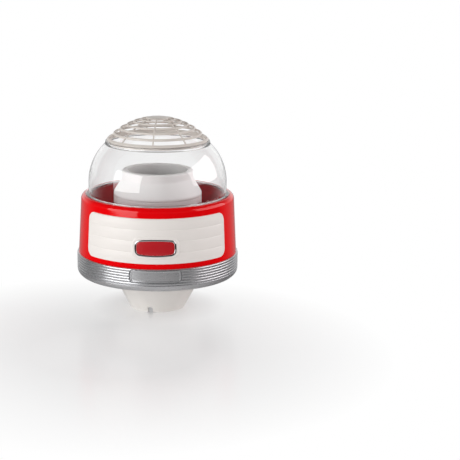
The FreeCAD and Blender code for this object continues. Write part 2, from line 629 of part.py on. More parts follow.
def make_front_panel():
    """White panel wrapped round the front in pillowed bands, with a raised surround for the badge."""
    count = int(size("panel_bands"))
    band = f"(({PANEL_TOP} - {PANEL_FOOT}) / panel_bands)"
    back = [(shell_wall_radius(PANEL_TOP), PANEL_TOP), (shell_wall_radius(PANEL_FOOT), PANEL_FOOT)]
    front = []
    for number in range(count + 1):
        height = f"({PANEL_FOOT} + {number} * {band})"
        corner = (f"{shell_wall_radius(height)} + panel_edge", height)
        front.append(corner + (bow_radius(band, "panel_pillow"), "right") if number < count else corner)
    body = new_body("panel_sheet")
    sketch = new_sketch(body, "panel_section", "XZ_Plane")
    outline(sketch, front + back)
    revolve(body, sketch, "panel_wrapped", "2 * panel_half_angle")
    ends = new_sketch(body, "panel_corner_cuts", "YZ_Plane")
    ends.AttachmentOffset = FreeCAD.Placement(FreeCAD.Vector(), FreeCAD.Rotation(FreeCAD.Vector(0, 1, 0), 1))
    bind(ends, "AttachmentOffset.Rotation.Angle", "panel_half_angle")
    turn = "panel_round"
    outline(ends, [("0", f"{PANEL_TOP} - {turn}"), (turn, f"{PANEL_TOP} - {turn}"),
                   (turn, f"{PANEL_TOP} + {turn}"), (f"0 - {turn}", f"{PANEL_TOP} + {turn}"),
                   (f"0 - {turn}", PANEL_TOP, turn, "left")])
    outline(ends, [(f"0 - {turn}", PANEL_FOOT), (f"0 - {turn}", f"{PANEL_FOOT} - {turn}"),
                   (turn, f"{PANEL_FOOT} - {turn}"), (turn, f"{PANEL_FOOT} + {turn}"),
                   ("0", f"{PANEL_FOOT} + {turn}", turn, "left")])
    cut = pocket(body, ends, "panel_corners", "2 * ring_radius", backwards=True)
    other = body.newObject("PartDesign::Mirrored", "panel_other_corners")
    other.Originals = [cut]
    other.MirrorPlane = (origin_feature(body, "XZ_Plane"), [""])
    body.Tip = other
    body.Placement = FreeCAD.Placement(FreeCAD.Vector(), FreeCAD.Rotation(FreeCAD.Vector(0, 0, 1), -90))
    rim = "2 * (badge_frame_width + badge_surround)"
    surround = badge_level("badge_surround_block", "panel_edge / 2", "1", f"badge_width + {rim}",
                           f"badge_height + {rim}", "badge_corner + badge_frame_width + badge_surround")
    keep(joined("Fuse", "front_panel_whole", body, surround), "front_panel")


def badge_level(label, foot, level, width, height, corner):
    """One level of the badge, from foot to a number of levels above the panel's edge."""
    low = f"({BADGE_Z} - badge_height)"
    high = f"({BADGE_Z} + badge_height)"
    top = f"panel_edge + panel_pillow + {level} * badge_level"
    return curved_plate(label, lambda z: f"{shell_wall_radius(z)} + {foot}",
                        lambda z: f"{shell_wall_radius(z)} + {top}", low, high,
                        soft_box(width, height, corner, BADGE_Z, "badge_bow", "badge_bow"))


def make_badge():
    """Bright frame on the surround, and the plain red plate inside it."""
    foot = "panel_edge + panel_pillow + badge_level"
    frame = "2 * badge_frame_width"
    outer = badge_level("badge_frame_outer", foot, "2", f"badge_width + {frame}", f"badge_height + {frame}",
                        "badge_corner + badge_frame_width")
    hole = badge_level("badge_frame_hole", f"{foot} / 2", "3", "badge_width", "badge_height", "badge_corner")
    keep(joined("Cut", "badge_frame_cut", outer, hole), "badge_frame")
    plate = badge_level("badge_plate_block", foot, "1.6", "badge_width - 2 * running_fit",
                        "badge_height - 2 * running_fit", "badge_corner")
    keep(plate, "badge_plate")


def make_trim_ring():
    """Silver ring: reeds over a plain rounded bead, with a bay for the blank plate."""
    bead_top = "(ring_foot_height + ring_bead_height)"
    bead_arc = "(ring_foot_inset^2 + ring_bead_height^2) / (2 * ring_foot_inset)"
    count = int(size("reed_count"))
    pitch = f"((ring_top_height - {bead_top}) / reed_count)"
    reed_arc = bow_radius(pitch, "reed_depth")
    corners = [(SKIRT_IN, "ring_foot_height"), (RING_FOOT, "ring_foot_height", bead_arc, "right"),
               ("ring_radius", bead_top)]
    for number in range(count):
        corners.append((RING_CORE, f"{bead_top} + {number} * {pitch}", reed_arc, "right"))
    corners += [(RING_CORE, "ring_top_height"), (RING_BORE, "ring_top_height"),
                (RING_BORE, LEDGE), (SKIRT_IN, LEDGE)]
    ring = turned("trim_ring_whole", corners)
    bay = name_level("name_bay", f"{RING_CORE} - seat_fit", "2 * ring_radius", "2 * seat_fit")
    keep(joined("Cut", "trim_ring_cut", ring, bay), "trim_ring")


def name_level(label, inner, outer, room):
    """The blank plate's shape between two radii, larger all round by half of room."""
    return curved_plate(label, lambda z: inner, lambda z: outer, f"({NAME_Z} - name_height)",
                        f"({NAME_Z} + name_height)",
                        soft_box(f"name_width + {room}", f"name_height + {room}", "name_bow", NAME_Z,
                                 end_bow="name_bow"))


def make_nameplate():
    """Blank satin plate in the ring's bay, with bulging ends."""
    keep(name_level("nameplate_block", f"{RING_CORE} - seat_fit", "ring_radius", "0"), "nameplate")


def make_lower_frame():
    """White frame under the drum: a ring that seats on the bucket, arms, and the tower's hub."""
    diagonal = "sqrt(0.5)"
    seat_out = f"({SKIRT_IN} - seat_fit)"
    body = turned("lower_frame",
                  [(CHUTE_FOOT, "seat_height"), (seat_out, "seat_height"), (seat_out, LEDGE),
                   (SPIGOT_OUT, LEDGE), (SPIGOT_OUT, FRAME_TOP), (CHUTE_FOOT, FRAME_TOP)],
                  [(CAN_OUT, "hub_height"), ("tower_radius", "hub_height"), ("tower_radius", FRAME_TOP),
                   (TOWER_IN, FRAME_TOP), (TOWER_IN, SHELF_TOP), (CAN_OUT, SHELF_TOP)])
    start = f"({TOWER_IN} + tower_wall / 4)"
    section = new_sketch(body, "arm_section", "YZ_Plane", ("0", "0", start))
    half = "arm_width / 2"
    spring = f"{FRAME_TOP} - arm_drop - (arm_arch - sqrt(arm_arch^2 - ({half})^2))"
    outline(section, [(f"0 - {half}", "hub_height"), (half, "hub_height"), (half, spring, "arm_arch", "right"),
                      (f"0 - {half}", spring)])
    arm = pad(body, section, "arm", f"{CHUTE_FOOT} + chute_wall - {start}")
    polar(body, arm, "arms", "arm_count")
    across = f"{POST_AT} * {diagonal}"
    drill(body, "frame_screw_hole", across, f"0 - {across}", "screw_radius + running_fit", "seat_height",
          "2 * frame_thickness", "arm_count")
    drill(body, "frame_screw_recess", across, f"0 - {across}", "screw_head_radius + seat_fit", "seat_height",
          "screw_head_height", "arm_count")
    drill(body, "stack_screw_hole", f"{BOSS_AT} * {diagonal}", f"0 - {BOSS_AT} * {diagonal}",
          "screw_radius + running_fit", "hub_height", "2 * hub_shelf", "post_count")
    body.Placement = FreeCAD.Placement(FreeCAD.Vector(), FreeCAD.Rotation(FreeCAD.Vector(0, 0, 1), 45))
    keep(body, "lower_frame")


def make_tower_wall():
    """White tower tube, with a lip inside the hub and screw posts on the hub's shelf."""
    body = turned("tower_wall", [
        (LIP_IN, SHELF_TOP), (LIP_OUT, SHELF_TOP), (LIP_OUT, FRAME_TOP), ("tower_radius", FRAME_TOP),
        ("tower_radius", TOWER_TOP), (TOWER_IN, TOWER_TOP), (TOWER_IN, f"{FRAME_TOP} + 2 * tower_wall"),
        (LIP_IN, f"{FRAME_TOP} + tower_wall")])
    posts(body, "tower_post", BOSS_AT, SHELF_TOP, "1.5 * screw_bite", "post_count")
    keep(body, "tower_wall")


def make_chimney():
    """White chimney: a spigot in the tower, a flare, a rounded rim and an inner wall down to the gasket."""
    bore_wall = f"({CHAMBER_OUT} + tower_wall)"
    neck_in = f"({CHIMNEY_OUT} - tower_wall)"
    roof = f"{CHIMNEY_TOP} - 2 * tower_wall"
    spigot_foot = f"{TOWER_TOP} - tower_spigot"
    body = turned("chimney", [
        (CHAMBER_OUT, GASKET_TOP), (bore_wall, GASKET_TOP), (bore_wall, roof), (neck_in, roof),
        (neck_in, f"{FLARE_TOP} - tower_wall / 4"), (LIP_IN, "flare_foot_height + 1.6 * tower_wall"),
        (LIP_IN, spigot_foot), (LIP_OUT, spigot_foot), (LIP_OUT, TOWER_TOP), ("tower_radius", TOWER_TOP),
        ("tower_radius", "flare_foot_height"), (CHIMNEY_OUT, FLARE_TOP),
        (CHIMNEY_OUT, f"{CHIMNEY_TOP} - rim_round", "rim_round", "right"),
        (f"{CHIMNEY_OUT} - rim_round", CHIMNEY_TOP),
        (f"{CHAMBER_OUT} + rim_round", CHIMNEY_TOP, "rim_round", "right"),
        (CHAMBER_OUT, f"{CHIMNEY_TOP} - rim_round")])
    keep(body, "chimney")


def make_base_cone():
    """White base cone: a slotted floor, screw columns, and arched air notches in its rim."""
    def inside(height):
        return f"base_foot_radius - {CONE_WALL} + {CONE_SLOPE} * ({height})"

    body = turned("base_cone", [
        ("base_foot_radius", "0"), ("tower_radius", "cone_height"), ("tower_radius", "hub_height"),
        (TOWER_IN, "hub_height"), (TOWER_IN, "cone_height + tower_wall / 4"),
        (inside(FLOOR_TOP), FLOOR_TOP), ("0", FLOOR_TOP), ("0", "floor_height"),
        (inside("floor_height"), "floor_height"), (inside("0"), "0")])
    posts(body, "column", "column_place", FLOOR_TOP, "column_height", "post_count")
    drill(body, "base_screw_hole", "column_place", "0", "screw_radius + running_fit", "floor_height",
          "2 * floor_thickness", "post_count")
    slots = new_sketch(body, "intake_plan", "XY_Plane", ("0", "0", "floor_height"))
    half = "intake_width / 2"
    end = "intake_start + intake_length"
    outline(slots, [("intake_start", f"0 - {half}"), (end, f"0 - {half}", half, "right"), (end, half),
                    ("intake_start", half, half, "right")])
    cut = pocket(body, slots, "intake_slot", "2 * floor_thickness", backwards=True)
    polar(body, cut, "intake_slots", "intake_count")
    arch = new_sketch(body, "notch_outline", "XZ_Plane")
    arch.AttachmentOffset = FreeCAD.Placement(FreeCAD.Vector(), FreeCAD.Rotation(FreeCAD.Vector(0, 1, 0), 1))
    bind(arch, "AttachmentOffset.Rotation.Angle", "notch_turn")
    side = "notch_width / 2"
    spring = f"notch_height - {side}"
    outline(arch, [(f"0 - {side}", f"0 - {side}"), (side, f"0 - {side}"), (side, spring, side, "right"),
                   (f"0 - {side}", spring)])
    notch = pocket(body, arch, "notch", "2 * base_foot_radius", backwards=True)
    polar(body, notch, "notches", "notch_count")
    keep(body, "base_cone")


def make_popping_chamber():
    """Aluminium cup with a coned floor and a ring of slanted slots that set the corn spinning."""
    under = f"{CHAMBER_FLOOR} - sheet_metal"
    top = f"{CAN_TOP} + sheet_metal"
    body = turned("popping_chamber", [
        ("0", f"{under} + chamber_crown"), ("chamber_crown_radius", under), (CHAMBER_OUT, under),
        (CHAMBER_OUT, CAN_TOP), (CAN_FLANGE, CAN_TOP), (CAN_FLANGE, top), (CHAMBER_IN, top),
        (CHAMBER_IN, CHAMBER_FLOOR), ("chamber_crown_radius", CHAMBER_FLOOR),
        ("0", f"{CHAMBER_FLOOR} + chamber_crown")])
    slot = new_sketch(body, "louvre_outline", "XZ_Plane", ("0", "0", "0 - chamber_crown_radius"))
    left = "0 - (louvre_width + louvre_lean) / 2"
    right = "(louvre_width - louvre_lean) / 2"
    low = f"{CHAMBER_FLOOR} + louvre_rise"
    high = f"{low} + louvre_height"
    outline(slot, [(left, low), (right, low), (f"{right} + louvre_lean", high),
                   (f"{left} + louvre_lean", high)])
    polar(body, pocket(body, slot, "louvre", "2 * air_gap + tower_radius"), "louvres", "louvre_count")
    keep(body, "popping_chamber")


def make_heater():
    """Steel heater can on the hub's shelf, the gasket on the chamber, and the element inside the can."""
    foot_top = f"{SHELF_TOP} + sheet_metal"
    keep(turned("heater_can", [
        (CAN_IN, SHELF_TOP), (CAN_FLANGE, SHELF_TOP), (CAN_FLANGE, foot_top), (CAN_OUT, foot_top),
        (CAN_OUT, CAN_TOP), (CAN_IN, CAN_TOP)]), "heater_can")
    gasket = turned("gasket_ring", square_box(CHAMBER_OUT, CAN_FLANGE, GASKET_FOOT, GASKET_TOP))
    keep(gasket, "chamber_gasket")
    reach = f"({CAN_IN} - seat_fit)"
    boards = []
    for name, length, width in (("mica_across", f"2 * {reach}", "mica_thickness"),
                                ("mica_along", "mica_thickness", f"2 * {reach}")):
        board = doc.addObject("Part::Box", name)
        bind(board, "Length", length)
        bind(board, "Width", width)
        bind(board, "Height", "mica_height")
        bind(board, "Placement.Base.x", f"0 - ({length}) / 2")
        bind(board, "Placement.Base.y", f"0 - ({width}) / 2")
        bind(board, "Placement.Base.z", MICA_FOOT)
        boards.append(board)
    cross = joined("Fuse", "mica_cross", *boards)
    turns = []
    holes = []
    count = int(size("coil_turns"))
    for number in range(count):
        height = f"{MICA_FOOT} + mica_height * {number + 0.5} / coil_turns"
        for name, radius, group in (("turn", "coil_wire", turns),
                                    ("hole", "coil_wire + 2 * running_fit", holes)):
            ring = doc.addObject("Part::Torus", f"coil_{name}_{number}")
            bind(ring, "Radius1", COIL_RADIUS)
            bind(ring, "Radius2", radius)
            bind(ring, "Placement.Base.z", height)
            group.append(ring)
    drilled = doc.addObject("Part::MultiFuse", "coil_holes")
    drilled.Shapes = holes
    keep(joined("Cut", "mica_drilled", cross, drilled), "mica_frame")
    coil = doc.addObject("Part::Compound", "coil")
    coil.Links = turns
    keep(coil, "heating_coil")


def make_cutouts():
    """Thermostat on the mica frame and a thermal fuse along one of its boards."""
    neck = "0.8 * thermostat_radius"
    rise = f"{MICA_TOP} + 0.6 * thermostat_height"
    keep(turned("thermostat_disc", [
        ("0", MICA_TOP), ("thermostat_radius", MICA_TOP), ("thermostat_radius", rise), (neck, rise),
        (neck, f"{MICA_TOP} + thermostat_height"), ("0", f"{MICA_TOP} + thermostat_height")]), "thermostat")
    fuse = doc.addObject("Part::Cylinder", "fuse_capsule")
    bind(fuse, "Radius", "fuse_radius")
    bind(fuse, "Height", "fuse_length")
    fuse.Placement = FreeCAD.Placement(FreeCAD.Vector(), FreeCAD.Rotation(FreeCAD.Vector(0, 1, 0), 90))
    bind(fuse, "Placement.Base.x", "1.5 * thermostat_radius")
    bind(fuse, "Placement.Base.z", f"{MICA_TOP} + fuse_radius")
    keep(fuse, "thermal_fuse")


def make_fan():
    """Fan of leaning blades on the motor's shaft."""
    bore = "shaft_radius + running_fit / 2"
    body = turned("fan_impeller", square_box(bore, "fan_hub_radius", FAN_FOOT, FAN_TOP))
    blade = new_sketch(body, "blade_side", "XZ_Plane", ("0", "0", "shaft_radius + running_fit"))
    low = f"{FAN_FOOT} + blade_thickness"
    high = f"{FAN_TOP} - blade_thickness"
    half = "blade_chord / 2"
    outline(blade, [(f"0 - {half}", low), (f"blade_thickness - {half}", low), (half, high),
                    (f"{half} - blade_thickness", high)])
    reach = f"sqrt({FAN_RADIUS}^2 - ({half})^2) - shaft_radius"
    polar(body, pad(body, blade, "blade", reach), "blades", "blade_count")
    keep(body, "fan_impeller")
    shaft = doc.addObject("Part::Cylinder", "shaft_rod")
    bind(shaft, "Radius", "shaft_radius")
    bind(shaft, "Height", f"{FAN_TOP} - {CAP_BOTTOM}")
    bind(shaft, "Placement.Base.z", CAP_BOTTOM)
    keep(shaft, "motor_shaft")


def make_motor():
    """Motor can with its neck in the mount, end cap, two bushes, mount, and rectifier under the cap."""
    neck_top = f"{MOUNT_FOOT} + motor_neck_height"
    seat = "(bush_radius + running_fit)"
    hollow = "(2 * shaft_radius)"
    can = turned("motor_can", [
        (hollow, MOTOR_FOOT), ("motor_radius", MOTOR_FOOT), ("motor_radius", MOUNT_FOOT),
        ("motor_neck_radius", MOUNT_FOOT), ("motor_neck_radius", neck_top), (seat, neck_top),
        (seat, f"{neck_top} - bush_height"), (hollow, f"{neck_top} - bush_height")])
    bite = "screw_bite / 2 + screw_radius"
    drill(can, "motor_tapping", "motor_screw_place", "0", "screw_radius + running_fit",
          f"{MOUNT_FOOT} - ({bite})", bite, 2)
    keep(can, "motor_can")
    keep(turned("motor_end_cap", square_box(seat, "motor_radius", CAP_BOTTOM, MOTOR_FOOT)), "motor_end_cap")
    keep(turned("motor_bushes",
                square_box(SHAFT_BORE, "bush_radius", CAP_BOTTOM, f"{CAP_BOTTOM} + bush_height"),
                square_box(SHAFT_BORE, "bush_radius", f"{neck_top} - bush_height", neck_top)), "motor_bushes")
    mount = turned("motor_mount",
                   square_box(MOUNT_RING_IN, MOUNT_RING_OUT, MOUNT_FOOT, "hub_height"),
                   square_box("motor_neck_radius + running_fit", "motor_radius", MOUNT_FOOT, "hub_height"))
    plan = new_sketch(mount, "mount_arm_plan", "XY_Plane", ("0", "0", MOUNT_FOOT))
    half = "mount_arm_width / 2"
    outline(plan, square_box("motor_radius - boss_radius", f"{MOUNT_RING_IN} + mount_ring_width / 4",
                             f"0 - {half}", half))
    polar(mount, pad(mount, plan, "mount_arm", "mount_thickness"), "mount_arms", "post_count")
    posts(mount, "mount_post", "column_place", MOUNT_FOOT, f"{MOUNT_FOOT} - {COLUMN_TOP}", "post_count",
          backwards=True)
    drill(mount, "mount_stack_hole", BOSS_AT, "0", "screw_radius + running_fit", MOUNT_FOOT,
          "2 * mount_thickness", "post_count")
    drill(mount, "mount_motor_hole", "motor_screw_place", "0", "screw_radius + running_fit", MOUNT_FOOT,
          "2 * mount_thickness", 2)
    keep(mount, "motor_mount")
    board_foot = f"{CAP_BOTTOM} - board_thickness"
    keep(turned("rectifier_board", square_box("bush_radius + board_thickness", "board_radius", board_foot,
                                              CAP_BOTTOM)), "rectifier_board")
    diodes = new_body("rectifier_diodes")
    end = new_sketch(diodes, "diode_end", "XZ_Plane")
    round_hole(end, "diode_place", f"{board_foot} - diode_radius", "diode_radius")
    polar(diodes, pad(diodes, end, "diode", "diode_length", both_ways=True), "diodes", 4)
    keep(diodes, "rectifier_diodes")


def make_switch():
    """Rocker switch in the rear land: a body with a bezel and a well, and a rocker on two pins."""
    body = new_body("switch_body")
    bezel = new_sketch(body, "bezel_outline", "XZ_Plane", ("0", "0", f"0 - {BEZEL_FACE}"))
    outline(bezel, soft_box("switch_width + 2 * bezel_width", "switch_height + 2 * bezel_width",
                            "bezel_width", SWITCH_Z))
    pad(body, bezel, "bezel", "bezel_thickness")
    case = new_sketch(body, "case_outline", "XZ_Plane", ("0", "0", f"0 - {LAND_FACE}"))
    outline(case, soft_box("switch_width", "switch_height", "switch_wall", SWITCH_Z))
    pad(body, case, "case", "switch_depth")
    well = new_sketch(body, "well_outline", "XZ_Plane", ("0", "0", f"0 - {BEZEL_FACE}"))
    outline(well, soft_box("switch_width - 2 * switch_wall", "switch_height - 2 * switch_wall", "rocker_gap",
                           SWITCH_Z))
    pocket(body, well, "well", "rocker_pivot_depth + rocker_belly + 2 * rocker_gap", backwards=True)
    pins = new_sketch(body, "pin_holes_side", "YZ_Plane")
    round_hole(pins, PIVOT_Y, SWITCH_Z, "pin_radius + running_fit")
    pocket(body, pins, "pin_holes", "2 * switch_width", both_ways=True)
    keep(body, "switch_body")

    rocker = new_body("switch_rocker")
    side = new_sketch(rocker, "rocker_side", "YZ_Plane")
    half = "(switch_height / 2 - switch_wall - rocker_gap)"
    waist = "0 - 0.6 * rocker_belly"
    outline(side, [("rocker_edge", f"0 - {half}"), ("rocker_crown", "0"), ("rocker_edge", half),
                   (waist, f"0.7 * {half}"), ("0 - rocker_belly", "0"), (waist, f"0 - 0.7 * {half}")])
    pad(rocker, side, "rocker_block", "switch_width - 2 * switch_wall - 2 * rocker_gap", both_ways=True)
    pin = new_sketch(rocker, "pin_side", "YZ_Plane")
    round_hole(pin, "0", "0", "pin_radius")
    pad(rocker, pin, "pins", "switch_width - rocker_gap", both_ways=True)
    rocker.Placement = FreeCAD.Placement(FreeCAD.Vector(), FreeCAD.Rotation(FreeCAD.Vector(1, 0, 0), -1))
    bind(rocker, "Placement.Base.y", PIVOT_Y)
    bind(rocker, "Placement.Base.z", SWITCH_Z)
    bind(rocker, "Placement.Rotation.Angle", "rocker_tilt")
    keep(rocker, "switch_rocker")


def make_cord_gland():
    """Rubber gland in the rear land, with a collar on each face and a hole for the cord."""
    body = new_body("cord_gland")
    section = new_sketch(body, "gland_section", "YZ_Plane", ("0", GLAND_Z, "0"))
    inner = f"{LAND_BACK} - gland_collar_thickness"
    outer = f"{LAND_FACE} + gland_collar_thickness"
    outline(section, [(inner, "gland_bore"), (outer, "gland_bore"), (outer, "gland_collar"),
                      (LAND_FACE, "gland_collar"), (LAND_FACE, "gland_barrel"),
                      (LAND_BACK, "gland_barrel"), (LAND_BACK, "gland_collar"), (inner, "gland_collar")])
    revolve(body, section, "gland_turned", axis="H_Axis")
    keep(body, "cord_gland")


def make_screws():
    """Screw groups: frame to shell, tower stack, base to motor mount, and motor to mount."""
    screws("frame_screws", POST_AT, "seat_height + screw_head_height",
           "frame_thickness - screw_head_height + screw_bite", "arm_count")
    screws("stack_screws", BOSS_AT, MOUNT_FOOT, "mount_thickness + hub_shelf + screw_bite", "post_count")
    screws("base_screws", "column_place", "floor_height", "floor_thickness + column_height + screw_bite",
           "post_count")
    screws("motor_screws", "motor_screw_place", "hub_height", "mount_thickness + screw_bite / 2", 2,
           head_up=True)


make_vent_grille()
make_dome()
make_outer_shell()
make_chute_liner()
make_front_panel()
make_badge()
make_trim_ring()
make_nameplate()
make_lower_frame()
make_tower_wall()
make_chimney()
make_base_cone()
make_popping_chamber()
make_heater()
make_cutouts()
make_fan()
make_motor()
make_switch()
make_cord_gland()
make_screws()
doc.recompute()

failed = [item.Label for item in doc.Objects if "Invalid" in item.State or "Error" in item.State]
failed += [item.Label for item in SUBPARTS if item.Shape.isNull() or not item.Shape.isValid()]
if failed:
    raise RuntimeError("these did not build: " + ", ".join(failed))
os.makedirs("parts", exist_ok=True)
for item in SUBPARTS:
    item.Shape.exportStep(f"parts/{item.Label}.step")
print(len(SUBPARTS), "sub-parts written")
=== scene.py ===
"""Looks of the hot-air popcorn maker: moulded, clear, chromed and reeded surfaces over its CAD frame.

Metres. The origin is on the table under the tower, +Z is up and the front faces -Y.
"""
import json
import math

import bmesh
import bpy
import numpy as np
from mathutils import Matrix


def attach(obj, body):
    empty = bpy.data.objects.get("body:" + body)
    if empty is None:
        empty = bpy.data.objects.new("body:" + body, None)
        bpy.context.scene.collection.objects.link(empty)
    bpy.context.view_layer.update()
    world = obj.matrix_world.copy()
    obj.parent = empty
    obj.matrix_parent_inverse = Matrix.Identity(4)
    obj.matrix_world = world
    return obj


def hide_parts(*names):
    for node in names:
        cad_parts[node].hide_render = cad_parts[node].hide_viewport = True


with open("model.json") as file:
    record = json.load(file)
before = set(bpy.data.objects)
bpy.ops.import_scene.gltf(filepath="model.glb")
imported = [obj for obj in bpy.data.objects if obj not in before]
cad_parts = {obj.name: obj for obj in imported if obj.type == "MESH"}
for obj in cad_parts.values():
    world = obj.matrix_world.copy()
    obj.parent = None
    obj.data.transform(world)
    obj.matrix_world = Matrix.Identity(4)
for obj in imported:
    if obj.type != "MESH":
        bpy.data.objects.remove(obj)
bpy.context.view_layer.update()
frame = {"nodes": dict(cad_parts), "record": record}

MM = 0.001
FRONT = -math.pi / 2    # turn of the machine's front about the upright axis
REAR = math.pi / 2

# How meshes are made
POLE_WELD = 1e-8        # points of a mesh nearer than this, in metres, are one
STRAIGHT = 1.55         # half of a corner's angle, in radians, past which it gets no arc
ARC_SHARE = 0.42        # most of a side that the arc at its end may take
HOLD = 0.35             # from an arc to the point that keeps the flat beside it flat, in millimetres
HOLD_SHARE = 0.05       # and most of a side that this may take

# Driving sizes of the visible pieces in millimetres, the same as in the part's source
SEAT_FIT = 0.3
RUNNING_FIT = 0.04
RING_RADIUS = 120.0
RING_FOOT = 53.0
RING_FOOT_INSET = 5.3
RING_BEAD = 9.0
RING_TOP = 86.0
RING_WALL = 2.4
RING_LIP = 2.5
RING_LEDGE = 71.0
REED_COUNT = 6
REED_DEPTH = 1.1
NAME_HALF_WIDTH = 34.75
NAME_HALF_HEIGHT = 8.9
NAME_DROP = 10.5
NAME_BOW = 2.4
DRUM_FOOT = 74.0
SHELL_WALL = 2.5
SHELL_TAPER = 4.0
SPIGOT_STEP = 2.1
SHOULDER_Z = 166.0
SHOULDER_WIDTH = 4.5
SHOULDER_RISE = 7.0
LAND_INSET = 0.5
LAND_HALF_WIDTH = 17.0
LAND_ROUND = 5.0
LAND_TOP_GAP = 10.0
SWITCH_DROP = 18.0
SWITCH_WIDTH = 13.0
SWITCH_HEIGHT = 20.0
SWITCH_CORNER = 1.3
GLAND_DROP = 26.0
GLAND_MARGIN = 10.0
GLAND_BARREL = 6.0
CHUTE_TAPER = 5.5
CHUTE_WALL = 2.2
CHUTE_FLANGE = 4.3
PANEL_HALF_ANGLE = math.radians(57.5)
PANEL_FOOT_GAP = 7.5
PANEL_TOP_GAP = 7.0
PANEL_ROUND = 12.0
PANEL_EDGE = 1.2
PANEL_PILLOW = 0.7
PANEL_BANDS = 4
BADGE_RISE = 23.5
BADGE_HALF_WIDTH = 26.0
BADGE_HALF_HEIGHT = 8.75
BADGE_BOW = 1.6
BADGE_CORNER = 3.0
BADGE_FRAME = 2.4
BADGE_SURROUND = 3.2
BADGE_LEVEL = 0.75
FLANGE_MARGIN = 2.0
FLANGE_WIDTH = 4.8
DOME_WALL = 2.4
DOME_WALL_HEIGHT = 18.0
DOME_CURVE_RADIUS = 77.7
PLUG_INSET = 1.7
PLUG_DEPTH = 7.0
LIP_RADIUS = 77.2
LIP_HEIGHT = 4.2
LIP_WIDTH = 3.7
GRILLE_MARGIN = 2.0
GRILLE_RIM = 1.9
GRILLE_GROOVE = 1.3
GRILLE_GROOVE_DEPTH = 1.2
GRILLE_SKIRT_WALL = 2.0
GRILLE_RISE = 33.3
GRILLE_PITCH = 9.85
GRILLE_BAND = 2.0
GRILLE_BANDS = 6
GRILLE_THICKNESS = 2.4
SPOKE_COUNT = 9
SPOKE_WIDTH = 1.9
SPOKE_DROP = 0.6
SPOKE_TURN = math.radians(-4.0)
TOWER_RADIUS = 65.3
TOWER_WALL = 2.5
TOWER_LIP = 2.1
TOWER_SPIGOT = 3.5
CHIMNEY_RADIUS = 52.5
CHIMNEY_FOOT = 166.8
FLARE_FOOT = 175.5
FLARE_HEIGHT = 21.5
NECK_HEIGHT = 12.0
RIM_WIDTH = 8.3
RIM_ROUND = 2.4

# Places and sizes that follow from those
RING_CORE = RING_RADIUS - REED_DEPTH
RING_BEAD_TOP = RING_FOOT + RING_BEAD
RING_SKIRT_IN = RING_RADIUS - RING_FOOT_INSET - RING_WALL
NAME_Z = RING_TOP - NAME_DROP
WALL_FOOT = RING_RADIUS - RING_LIP
WALL_SHOULDER = WALL_FOOT - SHELL_TAPER
DRUM_SPIGOT = WALL_FOOT - SPIGOT_STEP
DRUM_INSIDE = DRUM_SPIGOT - SHELL_WALL
RING_BORE = DRUM_SPIGOT + SEAT_FIT
DRUM_TOP_RADIUS = WALL_SHOULDER - SHOULDER_WIDTH
DRUM_TOP = SHOULDER_Z + SHOULDER_RISE
DRUM_UNDER = DRUM_TOP - SHELL_WALL
LAND_FACE = WALL_FOOT - LAND_INSET
LAND_TOP = SHOULDER_Z - LAND_TOP_GAP
SWITCH_Z = LAND_TOP - SWITCH_DROP
GLAND_Z = SWITCH_Z - GLAND_DROP
LAND_FOOT = GLAND_Z - GLAND_MARGIN
DOME_FLANGE = DRUM_TOP_RADIUS - FLANGE_MARGIN
DOME_RADIUS = DOME_FLANGE - FLANGE_WIDTH
DOME_CURVE_R = DOME_RADIUS - DOME_CURVE_RADIUS
DOME_CURVE_Z = DRUM_TOP + DOME_WALL_HEIGHT
CHUTE_MOUTH = DOME_RADIUS - PLUG_INSET
CHUTE_OUT = CHUTE_MOUTH + CHUTE_WALL
CHUTE_FOOT = CHUTE_MOUTH - CHUTE_TAPER
CHUTE_LAND = DRUM_TOP - PLUG_DEPTH - 2.0 * DOME_WALL
DOME_PLUG = CHUTE_MOUTH - SEAT_FIT
DRUM_MOUTH = CHUTE_OUT + SEAT_FIT
LIP_TOP = DOME_CURVE_Z + math.sqrt(DOME_CURVE_RADIUS ** 2 - (LIP_RADIUS - DOME_CURVE_R) ** 2) + LIP_HEIGHT
LIP_BORE = LIP_RADIUS - LIP_WIDTH
GRILLE_RADIUS = LIP_RADIUS - GRILLE_MARGIN
GRILLE_NECK = GRILLE_RADIUS - GRILLE_GROOVE_DEPTH
GRILLE_GROOVE_TOP = LIP_TOP + GRILLE_GROOVE
GRILLE_FOOT = LIP_TOP + GRILLE_RIM
GRILLE_SKIRT_OUT = LIP_BORE - RUNNING_FIT
GRILLE_SKIRT_IN = GRILLE_SKIRT_OUT - GRILLE_SKIRT_WALL
PANEL_FOOT = RING_TOP + PANEL_FOOT_GAP
PANEL_TOP = SHOULDER_Z - PANEL_TOP_GAP
PANEL_HALF_HEIGHT = 0.5 * (PANEL_TOP - PANEL_FOOT)
PANEL_MIDDLE = 0.5 * (PANEL_TOP + PANEL_FOOT)
BADGE_Z = PANEL_FOOT + BADGE_RISE
BADGE_SEAT = PANEL_EDGE + PANEL_PILLOW + BADGE_LEVEL
CHIMNEY_BORE = CHIMNEY_RADIUS - RIM_WIDTH
FLARE_TOP = FLARE_FOOT + FLARE_HEIGHT
CHIMNEY_TOP = FLARE_TOP + NECK_HEIGHT
TOWER_TOP = FLARE_FOOT - TOWER_SPIGOT
SPIGOT_FOOT = TOWER_TOP - TOWER_SPIGOT
SPIGOT_OUT = TOWER_RADIUS - TOWER_WALL - SEAT_FIT
SPIGOT_IN = SPIGOT_OUT - TOWER_LIP

# Drawn thinner than in the part's source, as they look in the photograph
DOME_FLANGE_FOOT = DRUM_TOP + 0.15
DOME_FLANGE_TOP = DRUM_TOP + 1.6
DOME_PLUG_FOOT = DRUM_TOP - 3.0
DOME_PLUG_WALL = 1.0
GRILLE_SKIRT_FOOT = LIP_TOP - 2.8

